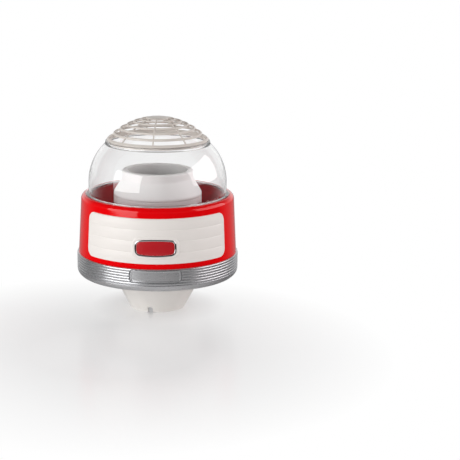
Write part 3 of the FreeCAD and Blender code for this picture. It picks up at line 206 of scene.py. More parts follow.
# Softer details that only the looks need, in millimetres
WALL_END = 1.0              # stretch of the red wall at each end that the corners take
UNDER_WIDTH = 7.0           # underside of the drum's top, across
LAND_EASE = 0.6             # half of the slope round the flat land
PRISM_REACH = 9.0           # how far an opening's cutter stands out of the land on each side
PANEL_SINK = 0.1            # edge of the panel in the wall
PANEL_ROLL = 1.1            # rolled edge of the panel
PANEL_EVEN = (0.5, 9.0)     # distances from the panel's edge between which its bands come up
GROOVE_DEPTH = 0.35 * PANEL_PILLOW
GROOVE_WIDTH = 0.5
SURROUND_EASE = (-1.3, 0.6)     # distances from the surround's outline between which it falls away
SURROUND_BEAD = 0.45
SURROUND_BEAD_WIDTH = 1.1
SURROUND_TURN = 0.6         # turn from the front, in radians, within which the surround lies
HOOP_RISE = 0.15            # ends of the badge frame's half round above its seat
HOOP_CROWN = 1.25 * BADGE_LEVEL
HOOP_SINK = 0.3
PLATE_RISE = 0.12           # edge of the badge's plate above its seat
PLATE_CROWN = 0.6
PLATE_SINK = 0.2
REED_GROOVE = 0.25          # floor of the grooves between reeds, inside the ring's core
REED_GAP = 0.3              # from the bead to the first reed
REED_RUN = 0.985            # share of the reeded height that the reeds take
RING_TOP_INSET = 0.4
RING_TOP_FACE = 4.0         # upright faces beside the ring's top
RING_CHAMFER = 0.6
RING_SKIN = 0.6             # depth under the ring's core within which the bay moves its points
BAY_WIDER = 0.9             # bay in the ring past the bare plate, at its ends
BAY_HIGHER = 0.5            # and at its long sides
BAY_DEPTH = 0.9             # floor of the bay inside the ring's core
BAY_EASE = 0.25
NAME_ROLL = 0.7             # rolled edge of the bare plate
NAME_SINK = 0.4
NAME_RIM = (1.7, 2.1)       # distances from the plate's edge between which its rim steps down
NAME_STEP = 0.3


def smooth_step(value, low, high):
    """0 below low and 1 above high, with 3 s^2 - 2 s^3 between, where s is the share of the way."""
    share = np.clip((value - low) / (high - low), 0.0, 1.0)
    return share * share * (3.0 - 2.0 * share)


def rounded_profile(corners, steps=5):
    """Closed outline whose corners (r, z, round) become arcs tangent to both sides.

    An arc is centre + radius (cos a, sin a), with a going evenly from one tangent point to the
    other, and a point at a short hold before and after it keeps the flats flat in shading."""
    points = np.array([corner[:2] for corner in corners], float)
    pieces = []
    for at, corner in enumerate(corners):
        here = points[at]
        back = points[at - 1] - here
        ahead = points[(at + 1) % len(points)] - here
        reach_back = np.linalg.norm(back)
        reach_ahead = np.linalg.norm(ahead)
        back /= reach_back
        ahead /= reach_ahead
        half = 0.5 * math.acos(np.clip(back @ ahead, -1.0, 1.0))
        if len(corner) < 3 or half > STRAIGHT:
            pieces.append(here[None])
            continue
        cut = min(corner[2] / math.tan(half), ARC_SHARE * reach_back, ARC_SHARE * reach_ahead)
        radius = cut * math.tan(half)
        bisector = (back + ahead) / np.linalg.norm(back + ahead)
        centre = here + bisector * radius / math.sin(half)
        first = here + back * cut - centre
        last = here + ahead * cut - centre
        start = math.atan2(first[1], first[0])
        sweep = math.atan2(first[0] * last[1] - first[1] * last[0], first @ last)
        turn = start + sweep * np.linspace(0.0, 1.0, steps)
        arc = centre + radius * np.stack([np.cos(turn), np.sin(turn)], -1)
        margin = min(HOLD, HOLD_SHARE * reach_back, HOLD_SHARE * reach_ahead)
        pieces += [arc[:1] + back * margin, arc, arc[-1:] + ahead * margin]
    return np.concatenate(pieces)


def arc_points(centre, radius, start, end, count):
    """Points centre + radius (cos a, sin a) for count angles a, evenly from start to end."""
    turn = np.linspace(start, end, count)
    return np.stack([centre[0] + radius * np.cos(turn), centre[1] + radius * np.sin(turn)], -1)


def grid_faces(rows, columns, wrap_rows, wrap_columns, first):
    """Four-cornered faces that join each grid point to its neighbours, and round where it wraps."""
    index = first + np.arange(rows * columns).reshape(rows, columns)
    if wrap_rows:
        index = np.vstack([index, index[:1]])
    if wrap_columns:
        index = np.hstack([index, index[:, :1]])
    corners = [index[:-1, :-1], index[1:, :-1], index[1:, 1:], index[:-1, 1:]]
    return np.stack(corners, -1).reshape(-1, 4)


def skin(name, grids):
    """One mesh object from grids of points in millimetres, each given as (points, wrap, wrap).

    Points that fall together at a pole are welded into one."""
    verts = []
    faces = []
    count = 0
    for points, wrap_rows, wrap_columns in grids:
        rows, columns = points.shape[:2]
        faces.append(grid_faces(rows, columns, wrap_rows, wrap_columns, count))
        verts.append(points.reshape(-1, 3))
        count += rows * columns
    mesh = bpy.data.meshes.new(name)
    mesh.from_pydata((np.concatenate(verts) * MM).tolist(), [], np.concatenate(faces).tolist())
    welded = bmesh.new()
    welded.from_mesh(mesh)
    bmesh.ops.remove_doubles(welded, verts=welded.verts, dist=POLE_WELD)
    welded.to_mesh(mesh)
    welded.free()
    mesh.polygons.foreach_set("use_smooth", np.ones(len(mesh.polygons), bool))
    mesh.update()
    piece = bpy.data.objects.new(name, mesh)
    bpy.context.scene.collection.objects.link(piece)
    return piece


def turned(profile, turns):
    """Surface of revolution: (r, z) of the profile goes to (r cos t, r sin t, z) at every turn t."""
    radius = profile[:, 0]
    height = np.broadcast_to(profile[:, 1], (len(turns), len(profile)))
    return np.stack([np.outer(np.cos(turns), radius), np.outer(np.sin(turns), radius), height], -1)


def even_turns(count):
    """Turns spread evenly round the whole circle."""
    return np.linspace(0.0, 2.0 * math.pi, count, endpoint=False)


def finer_turns(count, middles, reach, extra):
    """Even turns with extra ones within reach of some middles, in order round the circle."""
    turns = [even_turns(count)]
    for middle in middles:
        turns.append(np.mod(middle + np.linspace(-reach, reach, extra), 2.0 * math.pi))
    return np.unique(np.round(np.concatenate(turns), 6))


def round_box(half_width, half_height, corner):
    """Closed outline of a box about its middle, its corners arcs of one radius."""
    return rounded_profile([(-half_width, -half_height, corner), (half_width, -half_height, corner),
                            (half_width, half_height, corner), (-half_width, half_height, corner)])


def lathe(name, profile, count):
    """Mesh object of a closed profile turned about the axis in even steps."""
    return skin(name, [(turned(profile, even_turns(count)), True, True)])


def rear_prism(outline, middle):
    """Prism through the rear land: the outline (x, z) about a middle height, at two depths, with each
    end drawn together to a point in its middle."""
    rows = []
    for reach, share in [(-PRISM_REACH, 0.0), (-PRISM_REACH, 1.0), (PRISM_REACH, 1.0), (PRISM_REACH, 0.0)]:
        across, up = share * outline.T
        rows.append(np.stack([across, np.full(len(outline), LAND_FACE + reach), middle + up], -1))
    return skin("rear_prism", [(np.stack(rows), False, True)])


def cut_out(piece, cutter):
    """Take a cutter's solid out of a piece, and then take the cutter away."""
    opening = piece.modifiers.new("opening", "BOOLEAN")
    opening.operation = "DIFFERENCE"
    opening.solver = "EXACT"
    opening.object = cutter
    uncut = piece.data
    mesh = bpy.data.meshes.new_from_object(piece.evaluated_get(bpy.context.evaluated_depsgraph_get()))
    piece.modifiers.clear()
    piece.data = mesh
    bpy.data.meshes.remove(uncut)
    bpy.data.meshes.remove(cutter.data)


def wall_radius(height):
    """Outside of the red wall at a height: a straight taper from the ring's top to the shoulder."""
    return WALL_FOOT + (WALL_SHOULDER - WALL_FOOT) * (height - RING_TOP) / (SHOULDER_Z - RING_TOP)


def on_front(across, height, radius):
    """Points on the front of an upright cylinder of that radius:
    (across, -sqrt(radius^2 - across^2), height)."""
    return np.stack([across, -np.sqrt(radius ** 2 - across ** 2), height], -1)


def box_distance(across, up, half_width, half_height, corner):
    """Signed distance to a box with round corners: below 0 inside it, as of a box grown by its corner."""
    aside = np.abs(across) - half_width + corner
    above = np.abs(up) - half_height + corner
    outside = np.hypot(np.maximum(aside, 0.0), np.maximum(above, 0.0))
    return outside + np.minimum(np.maximum(aside, above), 0.0) - corner


def bowed_distance(across, up, half_width, half_height, corner, end_bow, side_bow):
    """Signed distance to a box whose ends and long sides bulge: the box grows by bow (1 - s^2),
    where s is the share of the way from the middle of that side to its end."""
    wide = half_width + end_bow * (1.0 - np.clip(up / half_height, -1.0, 1.0) ** 2)
    high = half_height + side_bow * (1.0 - np.clip(across / half_width, -1.0, 1.0) ** 2)
    return box_distance(across, up, wide, high, corner)


# Shader node groups: the effects that several finishes share

def new_group(name, inputs, outputs):
    """An empty node group with named sockets, for a number where its default is one and else for a
    colour; returns the group, its input node and its output node."""
    group = bpy.data.node_groups.new(name, "ShaderNodeTree")
    for direction, sockets in [("INPUT", inputs), ("OUTPUT", outputs)]:
        for label, value in sockets.items():
            kind = "NodeSocketFloat" if isinstance(value, float) else "NodeSocketColor"
            socket = group.interface.new_socket(label, in_out=direction, socket_type=kind)
            socket.default_value = value
    return group, group.nodes.new("NodeGroupInput"), group.nodes.new("NodeGroupOutput")


def node(tree, kind, links, **settings):
    """A node with settings, and its inputs set to a value or linked from a socket."""
    made = tree.nodes.new(kind)
    for label, value in settings.items():
        setattr(made, label, value)
    for label, value in links.items():
        socket = made.inputs[label]
        if isinstance(value, bpy.types.NodeSocket):
            tree.links.new(value, socket)
        else:
            socket.default_value = value
    return made


def maths(tree, operation, first, second=0.0, third=0.0):
    """Result socket of one sum on two or three values or sockets."""
    return node(tree, "ShaderNodeMath", {0: first, 1: second, 2: third}, operation=operation).outputs[0]


def spread(tree, value, low, high, new_low, new_high):
    """A value moved from one range to another, and kept within it."""
    links = {"Value": value, "From Min": low, "From Max": high, "To Min": new_low, "To Max": new_high}
    return node(tree, "ShaderNodeMapRange", links).outputs[0]


def mix_colours(tree, share, first, second):
    """Colour socket of two colours or sockets, mixed by the second's share."""
    links = {"Factor": share, "A": first, "B": second}
    return node(tree, "ShaderNodeMix", links, data_type="RGBA").outputs["Result"]


def noise(tree, at, scale, detail, roughness, distortion=0.0):
    """Value socket of a noise texture at a place."""
    links = {"Vector": at, "Scale": scale, "Detail": detail, "Roughness": roughness,
             "Distortion": distortion}
    return node(tree, "ShaderNodeTexNoise", links).outputs["Fac"]


def object_place(tree):
    """Socket with the place in the piece's own coordinates."""
    return tree.nodes.new("ShaderNodeTexCoord").outputs["Object"]


def make_moulded_group():
    """Moulded plastic: fine grain for a bump, slow waves of the mould, and a roughness that drifts
    with faint handling smears."""
    group, given, out = new_group("moulded_surface", {
        "Grain Scale": 900.0, "Wave Scale": 60.0, "Wave Share": 0.5, "Roughness": 0.3,
        "Roughness Drift": 0.05, "Smear Scale": 28.0}, {"Height": 0.0, "Roughness": 0.0})
    at = object_place(group)
    grain = noise(group, at, given.outputs["Grain Scale"], 2.0, 0.5)
    wave = noise(group, at, given.outputs["Wave Scale"], 1.0, 0.4)
    smear = noise(group, at, given.outputs["Smear Scale"], 5.0, 0.62, 0.6)
    mixed = node(group, "ShaderNodeMix", {"Factor": given.outputs["Wave Share"], "A": grain, "B": wave})
    swing = maths(group, "MULTIPLY", maths(group, "SUBTRACT", smear, 0.5), 2.0)
    rough = maths(group, "MULTIPLY_ADD", swing, given.outputs["Roughness Drift"],
                  given.outputs["Roughness"])
    group.links.new(mixed.outputs["Result"], out.inputs["Height"])
    group.links.new(rough, out.inputs["Roughness"])
    return group


DUST_GREY = (0.62, 0.6, 0.57, 1.0)


def make_tone_group():
    """Colour that drifts slowly over a piece and greys a little where dust settles on level faces."""
    group, given, out = new_group("tone_and_dust", {
        "Colour": (0.8, 0.8, 0.8, 1.0), "Shade": (0.7, 0.7, 0.7, 1.0), "Drift Scale": 12.0, "Drift": 0.5,
        "Dust": 0.03, "Dust Scale": 420.0}, {"Colour": (0.0, 0.0, 0.0, 1.0)})
    at = object_place(group)
    drift = noise(group, at, given.outputs["Drift Scale"], 3.0, 0.55)
    share = maths(group, "MULTIPLY", spread(group, drift, 0.35, 0.65, 0.0, 1.0), given.outputs["Drift"])
    toned = mix_colours(group, share, given.outputs["Colour"], given.outputs["Shade"])
    normal = group.nodes.new("ShaderNodeNewGeometry").outputs["Normal"]
    facing = node(group, "ShaderNodeSeparateXYZ", {0: normal})
    specks = noise(group, at, given.outputs["Dust Scale"], 3.0, 0.7)
    level = spread(group, facing.outputs["Z"], 0.3, 1.0, 0.0, 1.0)
    dusty = maths(group, "MULTIPLY", maths(group, "MULTIPLY", level, given.outputs["Dust"]),
                  spread(group, specks, 0.42, 0.7, 0.0, 1.0))
    group.links.new(mix_colours(group, dusty, toned, DUST_GREY), out.inputs["Colour"])
    return group


def make_streak_group():
    """Fine streaks that run round the upright axis: noise on (turn, height) stretched along the turn."""
    group, given, out = new_group("round_streaks", {"Along": 6.0, "Across": 1800.0}, {"Streak": 0.0})
    split = node(group, "ShaderNodeSeparateXYZ", {0: object_place(group)})
    turn = maths(group, "ARCTAN2", split.outputs["Y"], split.outputs["X"])
    flat = node(group, "ShaderNodeVectorMath", {0: object_place(group), 1: (1.0, 1.0, 0.0)},
                operation="MULTIPLY")
    reach = node(group, "ShaderNodeVectorMath", {0: flat.outputs[0]}, operation="LENGTH").outputs["Value"]
    unrolled = node(group, "ShaderNodeCombineXYZ", {
        "X": maths(group, "MULTIPLY", turn, given.outputs["Along"]),
        "Y": maths(group, "MULTIPLY", split.outputs["Z"], given.outputs["Across"]),
        "Z": maths(group, "MULTIPLY", reach, given.outputs["Across"])})
    group.links.new(noise(group, unrolled.outputs[0], 1.0, 4.0, 0.65), out.inputs["Streak"])
    return group


MOULDED = make_moulded_group()
TONE = make_tone_group()
STREAKS = make_streak_group()


COAT_ROUGHNESS = 0.04
MOULD_BUMP = 0.0002                     # height of the plastics' bumps, in metres
FINE_BUMP = 0.0001                      # and of the metals'
CLEAR_IOR = 1.49
CLEAR_TINT = (0.5, 0.52, 0.53, 1.0)     # colour that the dome's thickness leaves of light
CLEAR_DENSITY = 7.0
CLEAR_SHADOW = (0.9, 0.905, 0.91, 1.0)  # what the lamps' light keeps through the dome


def new_finish(name):
    """A material with only its Principled BSDF; returns the material, its tree and that shader."""
    finish = bpy.data.materials.new(name)
    finish.use_nodes = True
    return finish, finish.node_tree, finish.node_tree.nodes["Principled BSDF"]


def add_group(tree, group, **values):
    """A node group in a material, with values for its inputs, named with _ for a blank."""
    made = tree.nodes.new("ShaderNodeGroup")
    made.node_tree = group
    for label, value in values.items():
        made.inputs[label.replace("_", " ")].default_value = value
    return made


def add_bump(tree, shader, height, strength, distance):
    """Bump from a height socket into the shader's normal."""
    bump = node(tree, "ShaderNodeBump", {"Height": height, "Strength": strength, "Distance": distance})
    tree.links.new(bump.outputs["Normal"], shader.inputs["Normal"])


def moulded(name, colour, shade, roughness, drift, grain, wave, wave_share, bump, depth, **tone):
    """A finish whose colour drifts and dusts, with a moulded surface's gloss and bump; returns the
    material and its shader."""
    finish, tree, shader = new_finish(name)
    toned = add_group(tree, TONE, Colour=(*colour, 1.0), Shade=(*shade, 1.0), **tone)
    surface = add_group(tree, MOULDED, Grain_Scale=grain, Wave_Scale=wave, Wave_Share=wave_share,
                        Roughness=roughness, Roughness_Drift=drift)
    tree.links.new(toned.outputs["Colour"], shader.inputs["Base Color"])
    tree.links.new(surface.outputs["Roughness"], shader.inputs["Roughness"])
    add_bump(tree, shader, surface.outputs["Height"], bump, depth)
    return finish, shader


def plastic(name, colour, shade, roughness, drift=0.05, grain=900.0, wave=60.0, wave_share=0.5, bump=0.1,
            dust=0.03, coat=0.0, shine=0.5):
    """Moulded plastic of one colour with its drift, dust, grain and smears."""
    finish, shader = moulded(name, colour, shade, roughness, drift, grain, wave, wave_share, bump,
                             MOULD_BUMP, Dust=dust)
    shader.inputs["Specular IOR Level"].default_value = shine
    shader.inputs["Coat Weight"].default_value = coat
    shader.inputs["Coat Roughness"].default_value = COAT_ROUGHNESS
    return finish


def streaked_metal(name, colour, shade, roughness, drift, across, bump, metal=1.0):
    """Metal or metallic paint with fine streaks round the axis in its colour, gloss and bump."""
    finish, tree, shader = new_finish(name)
    lines = add_group(tree, STREAKS, Across=across)
    share = spread(tree, lines.outputs["Streak"], 0.3, 0.7, 0.0, 1.0)
    tree.links.new(mix_colours(tree, share, (*colour, 1.0), (*shade, 1.0)), shader.inputs["Base Color"])
    tree.links.new(spread(tree, share, 0.0, 1.0, roughness - drift, roughness + drift),
                   shader.inputs["Roughness"])
    shader.inputs["Metallic"].default_value = metal
    add_bump(tree, shader, lines.outputs["Streak"], bump, FINE_BUMP)
    return finish


def smeared_metal(name, colour, shade, roughness, drift, bump=0.04):
    """Plated or drawn metal whose gloss drifts with faint smears."""
    finish, shader = moulded(name, colour, shade, roughness, drift, grain=1400.0, wave=120.0,
                             wave_share=0.6, bump=bump, depth=FINE_BUMP, Drift_Scale=40.0, Dust=0.0)
    shader.inputs["Metallic"].default_value = 1.0
    return finish


def clear_plastic(name):
    """Clear moulded plastic: it bends light and tints it a little with its thickness, lets the lamps'
    light through, and has faint smears in its gloss and the mould's slow waves."""
    finish, shader = moulded(name, (1.0, 1.0, 1.0), (0.985, 0.988, 0.99), 0.015, 0.012, grain=300.0,
                             wave=22.0, wave_share=0.9, bump=0.03, depth=MOULD_BUMP, Dust=0.0)
    tree = finish.node_tree
    shader.inputs["Transmission Weight"].default_value = 1.0
    shader.inputs["IOR"].default_value = CLEAR_IOR
    path = tree.nodes.new("ShaderNodeLightPath")
    through = node(tree, "ShaderNodeBsdfTransparent", {"Color": CLEAR_SHADOW})
    mixed = node(tree, "ShaderNodeMixShader", {"Fac": path.outputs["Is Shadow Ray"],
                                               1: shader.outputs[0], 2: through.outputs[0]})
    tree.links.new(mixed.outputs[0], tree.nodes["Material Output"].inputs["Surface"])
    tint = node(tree, "ShaderNodeVolumeAbsorption", {"Color": CLEAR_TINT, "Density": CLEAR_DENSITY})
    tree.links.new(tint.outputs[0], tree.nodes["Material Output"].inputs["Volume"])
    return finish


SLOT_FINISH = {
    "red_plastic": plastic("red_gloss", (0.80, 0.001, 0.003), (0.74, 0.001, 0.003), 0.07, drift=0.02,
                           grain=700.0, wave=45.0, wave_share=0.8, bump=0.05, dust=0.01, coat=0.1,
                           shine=0.4),
    "white_plastic": plastic("cool_white", (0.78, 0.765, 0.755), (0.74, 0.725, 0.715), 0.38),
    "grille_plastic": plastic("grille_ivory", (0.74, 0.69, 0.64), (0.68, 0.625, 0.57), 0.36, dust=0.05),
    "clear_plastic": clear_plastic("clear_dome"),
    "dark_plastic": plastic("dark_plastic", (0.03, 0.03, 0.032), (0.02, 0.02, 0.021), 0.42, grain=1500.0,
                            bump=0.25),
    "rocker_plastic": plastic("rocker_black", (0.022, 0.022, 0.024), (0.015, 0.015, 0.016), 0.28,
                              bump=0.12),
    "black_rubber": plastic("black_rubber", (0.022, 0.021, 0.02), (0.033, 0.031, 0.029), 0.7, grain=1300.0,
                            bump=0.3),
    "silicone": plastic("silicone", (0.55, 0.52, 0.48), (0.48, 0.45, 0.41), 0.55, bump=0.15),
    "mica": plastic("mica", (0.62, 0.55, 0.42), (0.42, 0.36, 0.26), 0.3, drift=0.15, grain=260.0,
                    wave=120.0, bump=0.35),
    "board": plastic("board", (0.10, 0.17, 0.06), (0.07, 0.13, 0.045), 0.38, grain=500.0),
    "fuse_shell": plastic("fuse_shell", (0.70, 0.66, 0.52), (0.58, 0.53, 0.40), 0.4),
    "silver_plastic": streaked_metal("silver_satin", (0.73, 0.735, 0.75), (0.68, 0.685, 0.70), 0.28,
                                     drift=0.015, across=900.0, bump=0.005, metal=0.85),
    "aluminium_sheet": streaked_metal("spun_aluminium", (0.78, 0.78, 0.79), (0.64, 0.64, 0.66), 0.28,
                                      drift=0.08, across=1400.0, bump=0.12),
    "steel": smeared_metal("drawn_steel", (0.58, 0.57, 0.55), (0.47, 0.46, 0.45), 0.3, drift=0.08),
    "heating_wire": smeared_metal("heating_wire", (0.36, 0.32, 0.29), (0.25, 0.21, 0.19), 0.45, drift=0.1,
                                  bump=0.2),
    "bronze": smeared_metal("bronze", (0.55, 0.36, 0.17), (0.43, 0.27, 0.12), 0.4, drift=0.1, bump=0.1),
    "chrome_trim": smeared_metal("bright_chrome", (0.80, 0.80, 0.81), (0.74, 0.74, 0.76), 0.07, drift=0.03)}
NODE_FINISH = {
    "base_cone": plastic("warm_white", (0.92, 0.895, 0.86), (0.89, 0.86, 0.82), 0.32, bump=0.08, dust=0.02),
    # Painted shade: the chute is the drum's red plastic, drawn in a darker red that stands for the shade
    # inside the drum.
    "chute_liner": plastic("chute_red_painted_shade", (0.44, 0.002, 0.008), (0.40, 0.002, 0.007), 0.5, grain=700.0,
                           bump=0.08, shine=0.2),
    "badge_plate": plastic("badge_red", (0.50, 0.008, 0.014), (0.44, 0.006, 0.012), 0.24, grain=1600.0,
                           coat=0.3),
    "front_panel": plastic("panel_white", (0.84, 0.80, 0.765), (0.82, 0.775, 0.735), 0.34, bump=0.08,
                           dust=0.0)}


def finish_of(name, slot):
    """Finish of a CAD node: its own, or else that of its slot."""
    return NODE_FINISH.get(name, SLOT_FINISH[slot])


def finish_cad_nodes():
    """Give every CAD node of the record its finish."""
    for part in frame["record"]["subparts"]:
        piece = frame["nodes"][part["node"]]
        piece.data.materials.clear()
        piece.data.materials.append(finish_of(part["node"], part["material_slot"]))


def place(piece, body, slot, *nodes):
    """Hang a finished piece on its CAD body, in place of CAD nodes and with their finish."""
    piece.data.materials.append(finish_of(nodes[0], slot))
    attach(piece, body)
    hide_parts(*nodes)


def shoulder_arc():
    """Rounded shoulder between the wall and the top: an arc through both ends that leaves the wall
    upright, centre (end radius - radius, SHOULDER_Z) and radius (w^2 + h^2) / (2 w)."""
    radius = (SHOULDER_WIDTH ** 2 + SHOULDER_RISE ** 2) / (2.0 * SHOULDER_WIDTH)
    sweep = math.asin(SHOULDER_RISE / radius)
    return arc_points((WALL_SHOULDER - radius, SHOULDER_Z), radius, 0.0, sweep, 14)


def make_drum():
    """Red drum: its section turned about the axis, with a flat land at the rear. Inside the land's
    outline a point is scaled outwards until its y is the land's face, eased over the land's edge.
    The openings of the switch and the gland are then cut through the land."""
    rise = np.linspace(RING_TOP + WALL_END, SHOULDER_Z - WALL_END, 120)
    wall = np.stack([wall_radius(rise), rise], -1)
    foot = rounded_profile([
        (DRUM_INSIDE, DRUM_FOOT), (DRUM_SPIGOT, DRUM_FOOT), (DRUM_SPIGOT, RING_TOP),
        (WALL_FOOT, RING_TOP, 0.4), (wall_radius(RING_TOP + WALL_END), RING_TOP + WALL_END)])[:-1]
    top = rounded_profile([
        (DRUM_TOP_RADIUS, DRUM_TOP), (DRUM_MOUTH, DRUM_TOP, 0.6), (DRUM_MOUTH, DRUM_UNDER),
        (DRUM_MOUTH + UNDER_WIDTH, DRUM_UNDER)])[1:]
    inner = np.array([(WALL_SHOULDER - SHELL_WALL, SHOULDER_Z), (DRUM_INSIDE, RING_TOP)])
    profile = np.concatenate([foot, wall, shoulder_arc(), top, inner])
    points = turned(profile, finer_turns(224, [REAR], math.radians(11.0), 120))
    across, back, up = np.moveaxis(points, -1, 0)
    outside = np.hypot(across, back) > wall_radius(up) - LAND_EASE
    edge = box_distance(across, up - 0.5 * (LAND_TOP + LAND_FOOT), LAND_HALF_WIDTH,
                        0.5 * (LAND_TOP - LAND_FOOT), LAND_ROUND)
    share = (1.0 - smooth_step(edge, -LAND_EASE, LAND_EASE)) * outside * (back > 0.0)
    points[..., :2] *= (1.0 + share * (LAND_FACE / np.maximum(back, 1.0) - 1.0))[..., None]
    drum = skin("drum", [(points, True, True)])
    switch = round_box(0.5 * SWITCH_WIDTH + RUNNING_FIT, 0.5 * SWITCH_HEIGHT + RUNNING_FIT, SWITCH_CORNER)
    cut_out(drum, rear_prism(switch, SWITCH_Z))
    gland = arc_points((0.0, 0.0), GLAND_BARREL + RUNNING_FIT, 0.0, 2.0 * math.pi, 97)[:-1]
    cut_out(drum, rear_prism(gland, GLAND_Z))
    place(drum, "housing", "red_plastic", "outer_shell")


def make_chute():
    """Red chute inside the drum: an upright mouth with a flange behind it, over a wall that draws in
    towards its foot, turned about the axis."""
    under = DRUM_UNDER - CHUTE_WALL
    profile = rounded_profile([
        (CHUTE_FOOT, DRUM_FOOT, 0.5), (CHUTE_FOOT + CHUTE_WALL, DRUM_FOOT, 0.5), (CHUTE_OUT, CHUTE_LAND),
        (CHUTE_OUT, under), (CHUTE_OUT + CHUTE_FLANGE, under), (CHUTE_OUT + CHUTE_FLANGE, DRUM_UNDER),
        (CHUTE_OUT, DRUM_UNDER), (CHUTE_OUT, DRUM_TOP, 0.5), (CHUTE_MOUTH, DRUM_TOP, 0.8),
        (CHUTE_MOUTH, CHUTE_LAND, 4.0)])
    chute = lathe("chute", profile, 224)
    place(chute, "housing", "red_plastic", "chute_liner")


def make_clear_dome():
    """Clear dome: plug, flange, upright wall, a curve of one radius and a lip, turned about the axis.
    Pairs of points near its foot keep the upright walls upright in shading."""
    top_angle = math.acos((LIP_RADIUS - DOME_CURVE_R) / DOME_CURVE_RADIUS)
    outer = arc_points((DOME_CURVE_R, DOME_CURVE_Z), DOME_CURVE_RADIUS, 0.0, top_angle, 48)
    inner_radius = DOME_CURVE_RADIUS - DOME_WALL
    root = LIP_RADIUS - DOME_WALL
    inner_angle = math.acos((root - DOME_CURVE_R) / inner_radius)
    inner = arc_points((DOME_CURVE_R, DOME_CURVE_Z), inner_radius, inner_angle, 0.0, 48)
    under = inner[0, 1]
    inside = DOME_RADIUS - DOME_WALL
    plug_inside = DOME_PLUG - DOME_PLUG_WALL
    flange = rounded_profile([
        (plug_inside, DOME_PLUG_FOOT, 0.4), (DOME_PLUG, DOME_PLUG_FOOT, 0.4), (DOME_PLUG, DOME_FLANGE_FOOT),
        (DOME_FLANGE, DOME_FLANGE_FOOT, 0.6), (DOME_FLANGE, DOME_FLANGE_TOP, 0.6),
        (DOME_RADIUS, DOME_FLANGE_TOP, 0.9), (DOME_RADIUS, DOME_CURVE_Z - WALL_END),
        (plug_inside, DOME_CURVE_Z - WALL_END)])[:-1]
    lip = rounded_profile([
        (LIP_BORE, under), (LIP_RADIUS, under), (LIP_RADIUS, LIP_TOP, 0.8), (LIP_BORE, LIP_TOP, 0.8),
        (LIP_BORE, under, 0.3), (root - 0.2, under)])[2:-1]
    wall_in = np.array([(inside, DOME_FLANGE_TOP + 0.6), (inside, DOME_FLANGE_TOP + 0.3),
                        (plug_inside, DRUM_TOP + 0.4), (plug_inside, DRUM_TOP)])
    profile = np.concatenate([flange, outer, lip, inner, wall_in])
    dome = lathe("clear_dome", profile, 256)
    place(dome, "dome", "clear_plastic", "dome")


def crown_height(radius, drop=0.0):
    """Height of the grille's crown: a ball of radius (r^2 + h^2) / (2 h) through its rim, less a drop."""
    ball = (GRILLE_RADIUS ** 2 + GRILLE_RISE ** 2) / (2.0 * GRILLE_RISE)
    return GRILLE_FOOT + GRILLE_RISE - ball + np.sqrt((ball - drop) ** 2 - np.square(radius))


def make_vent_grille():
    """Crowned grille: a skirted rim, thin bands on a ball, a middle disc, and spokes under them.

    Bands and disc are sections turned about the axis. A spoke is a small oblong carried along
    the ball from the disc to the rim."""
    turns = even_turns(200)
    rim = rounded_profile([
        (GRILLE_SKIRT_IN, GRILLE_SKIRT_FOOT, 0.5), (GRILLE_SKIRT_OUT, GRILLE_SKIRT_FOOT, 0.5),
        (GRILLE_SKIRT_OUT, LIP_TOP), (GRILLE_NECK, LIP_TOP), (GRILLE_NECK, GRILLE_GROOVE_TOP),
        (GRILLE_RADIUS, GRILLE_GROOVE_TOP, 0.25), (GRILLE_RADIUS, GRILLE_FOOT + 0.3, 0.8),
        (GRILLE_SKIRT_IN, crown_height(GRILLE_SKIRT_IN), 0.8)])
    grids = [(turned(rim, turns), True, True)]
    for number in range(1, GRILLE_BANDS):
        far = GRILLE_RADIUS - number * GRILLE_PITCH
        near = far - GRILLE_BAND
        band = rounded_profile([
            (near, crown_height(near, GRILLE_THICKNESS), 0.6),
            (far, crown_height(far, GRILLE_THICKNESS), 0.6),
            (far, crown_height(far), 0.8), (near, crown_height(near), 0.8)])
        grids.append((turned(band, turns), True, True))
    edge = GRILLE_RADIUS - GRILLE_BANDS * GRILLE_PITCH
    inside = np.linspace(0.0, edge - 1.2, 12)
    disc = np.concatenate([
        np.stack([inside, crown_height(inside, GRILLE_THICKNESS)], -1),
        rounded_profile([(edge - 1.0, crown_height(edge, GRILLE_THICKNESS)),
                         (edge, crown_height(edge, GRILLE_THICKNESS), 0.6), (edge, crown_height(edge), 0.9),
                         (edge - 1.2, crown_height(edge - 1.2))])[1:],
        np.stack([inside, crown_height(inside)], -1)[::-1]])
    grids.append((turned(disc, turns), True, False))
    run = np.linspace(0.5 * edge, GRILLE_SKIRT_OUT - 1.0, 40)
    half = 0.5 * SPOKE_WIDTH
    under = -GRILLE_THICKNESS - SPOKE_DROP
    section = rounded_profile([(-half, under, 0.4), (half, under, 0.4), (half, -SPOKE_DROP, 0.6),
                               (-half, -SPOKE_DROP, 0.6)])
    lift = crown_height(run)[:, None] + section[None, :, 1]
    for spoke in range(SPOKE_COUNT):
        turn = FRONT + SPOKE_TURN + spoke * 2.0 * math.pi / SPOKE_COUNT
        out = np.array([math.cos(turn), math.sin(turn)])
        side = np.array([-out[1], out[0]])
        flat = run[:, None, None] * out + section[None, :, :1] * side
        grids.append((np.concatenate([flat, lift[..., None]], -1), False, True))
    grille = skin("grille_lattice", grids)
    place(grille, "dome", "grille_plastic", "vent_grille")


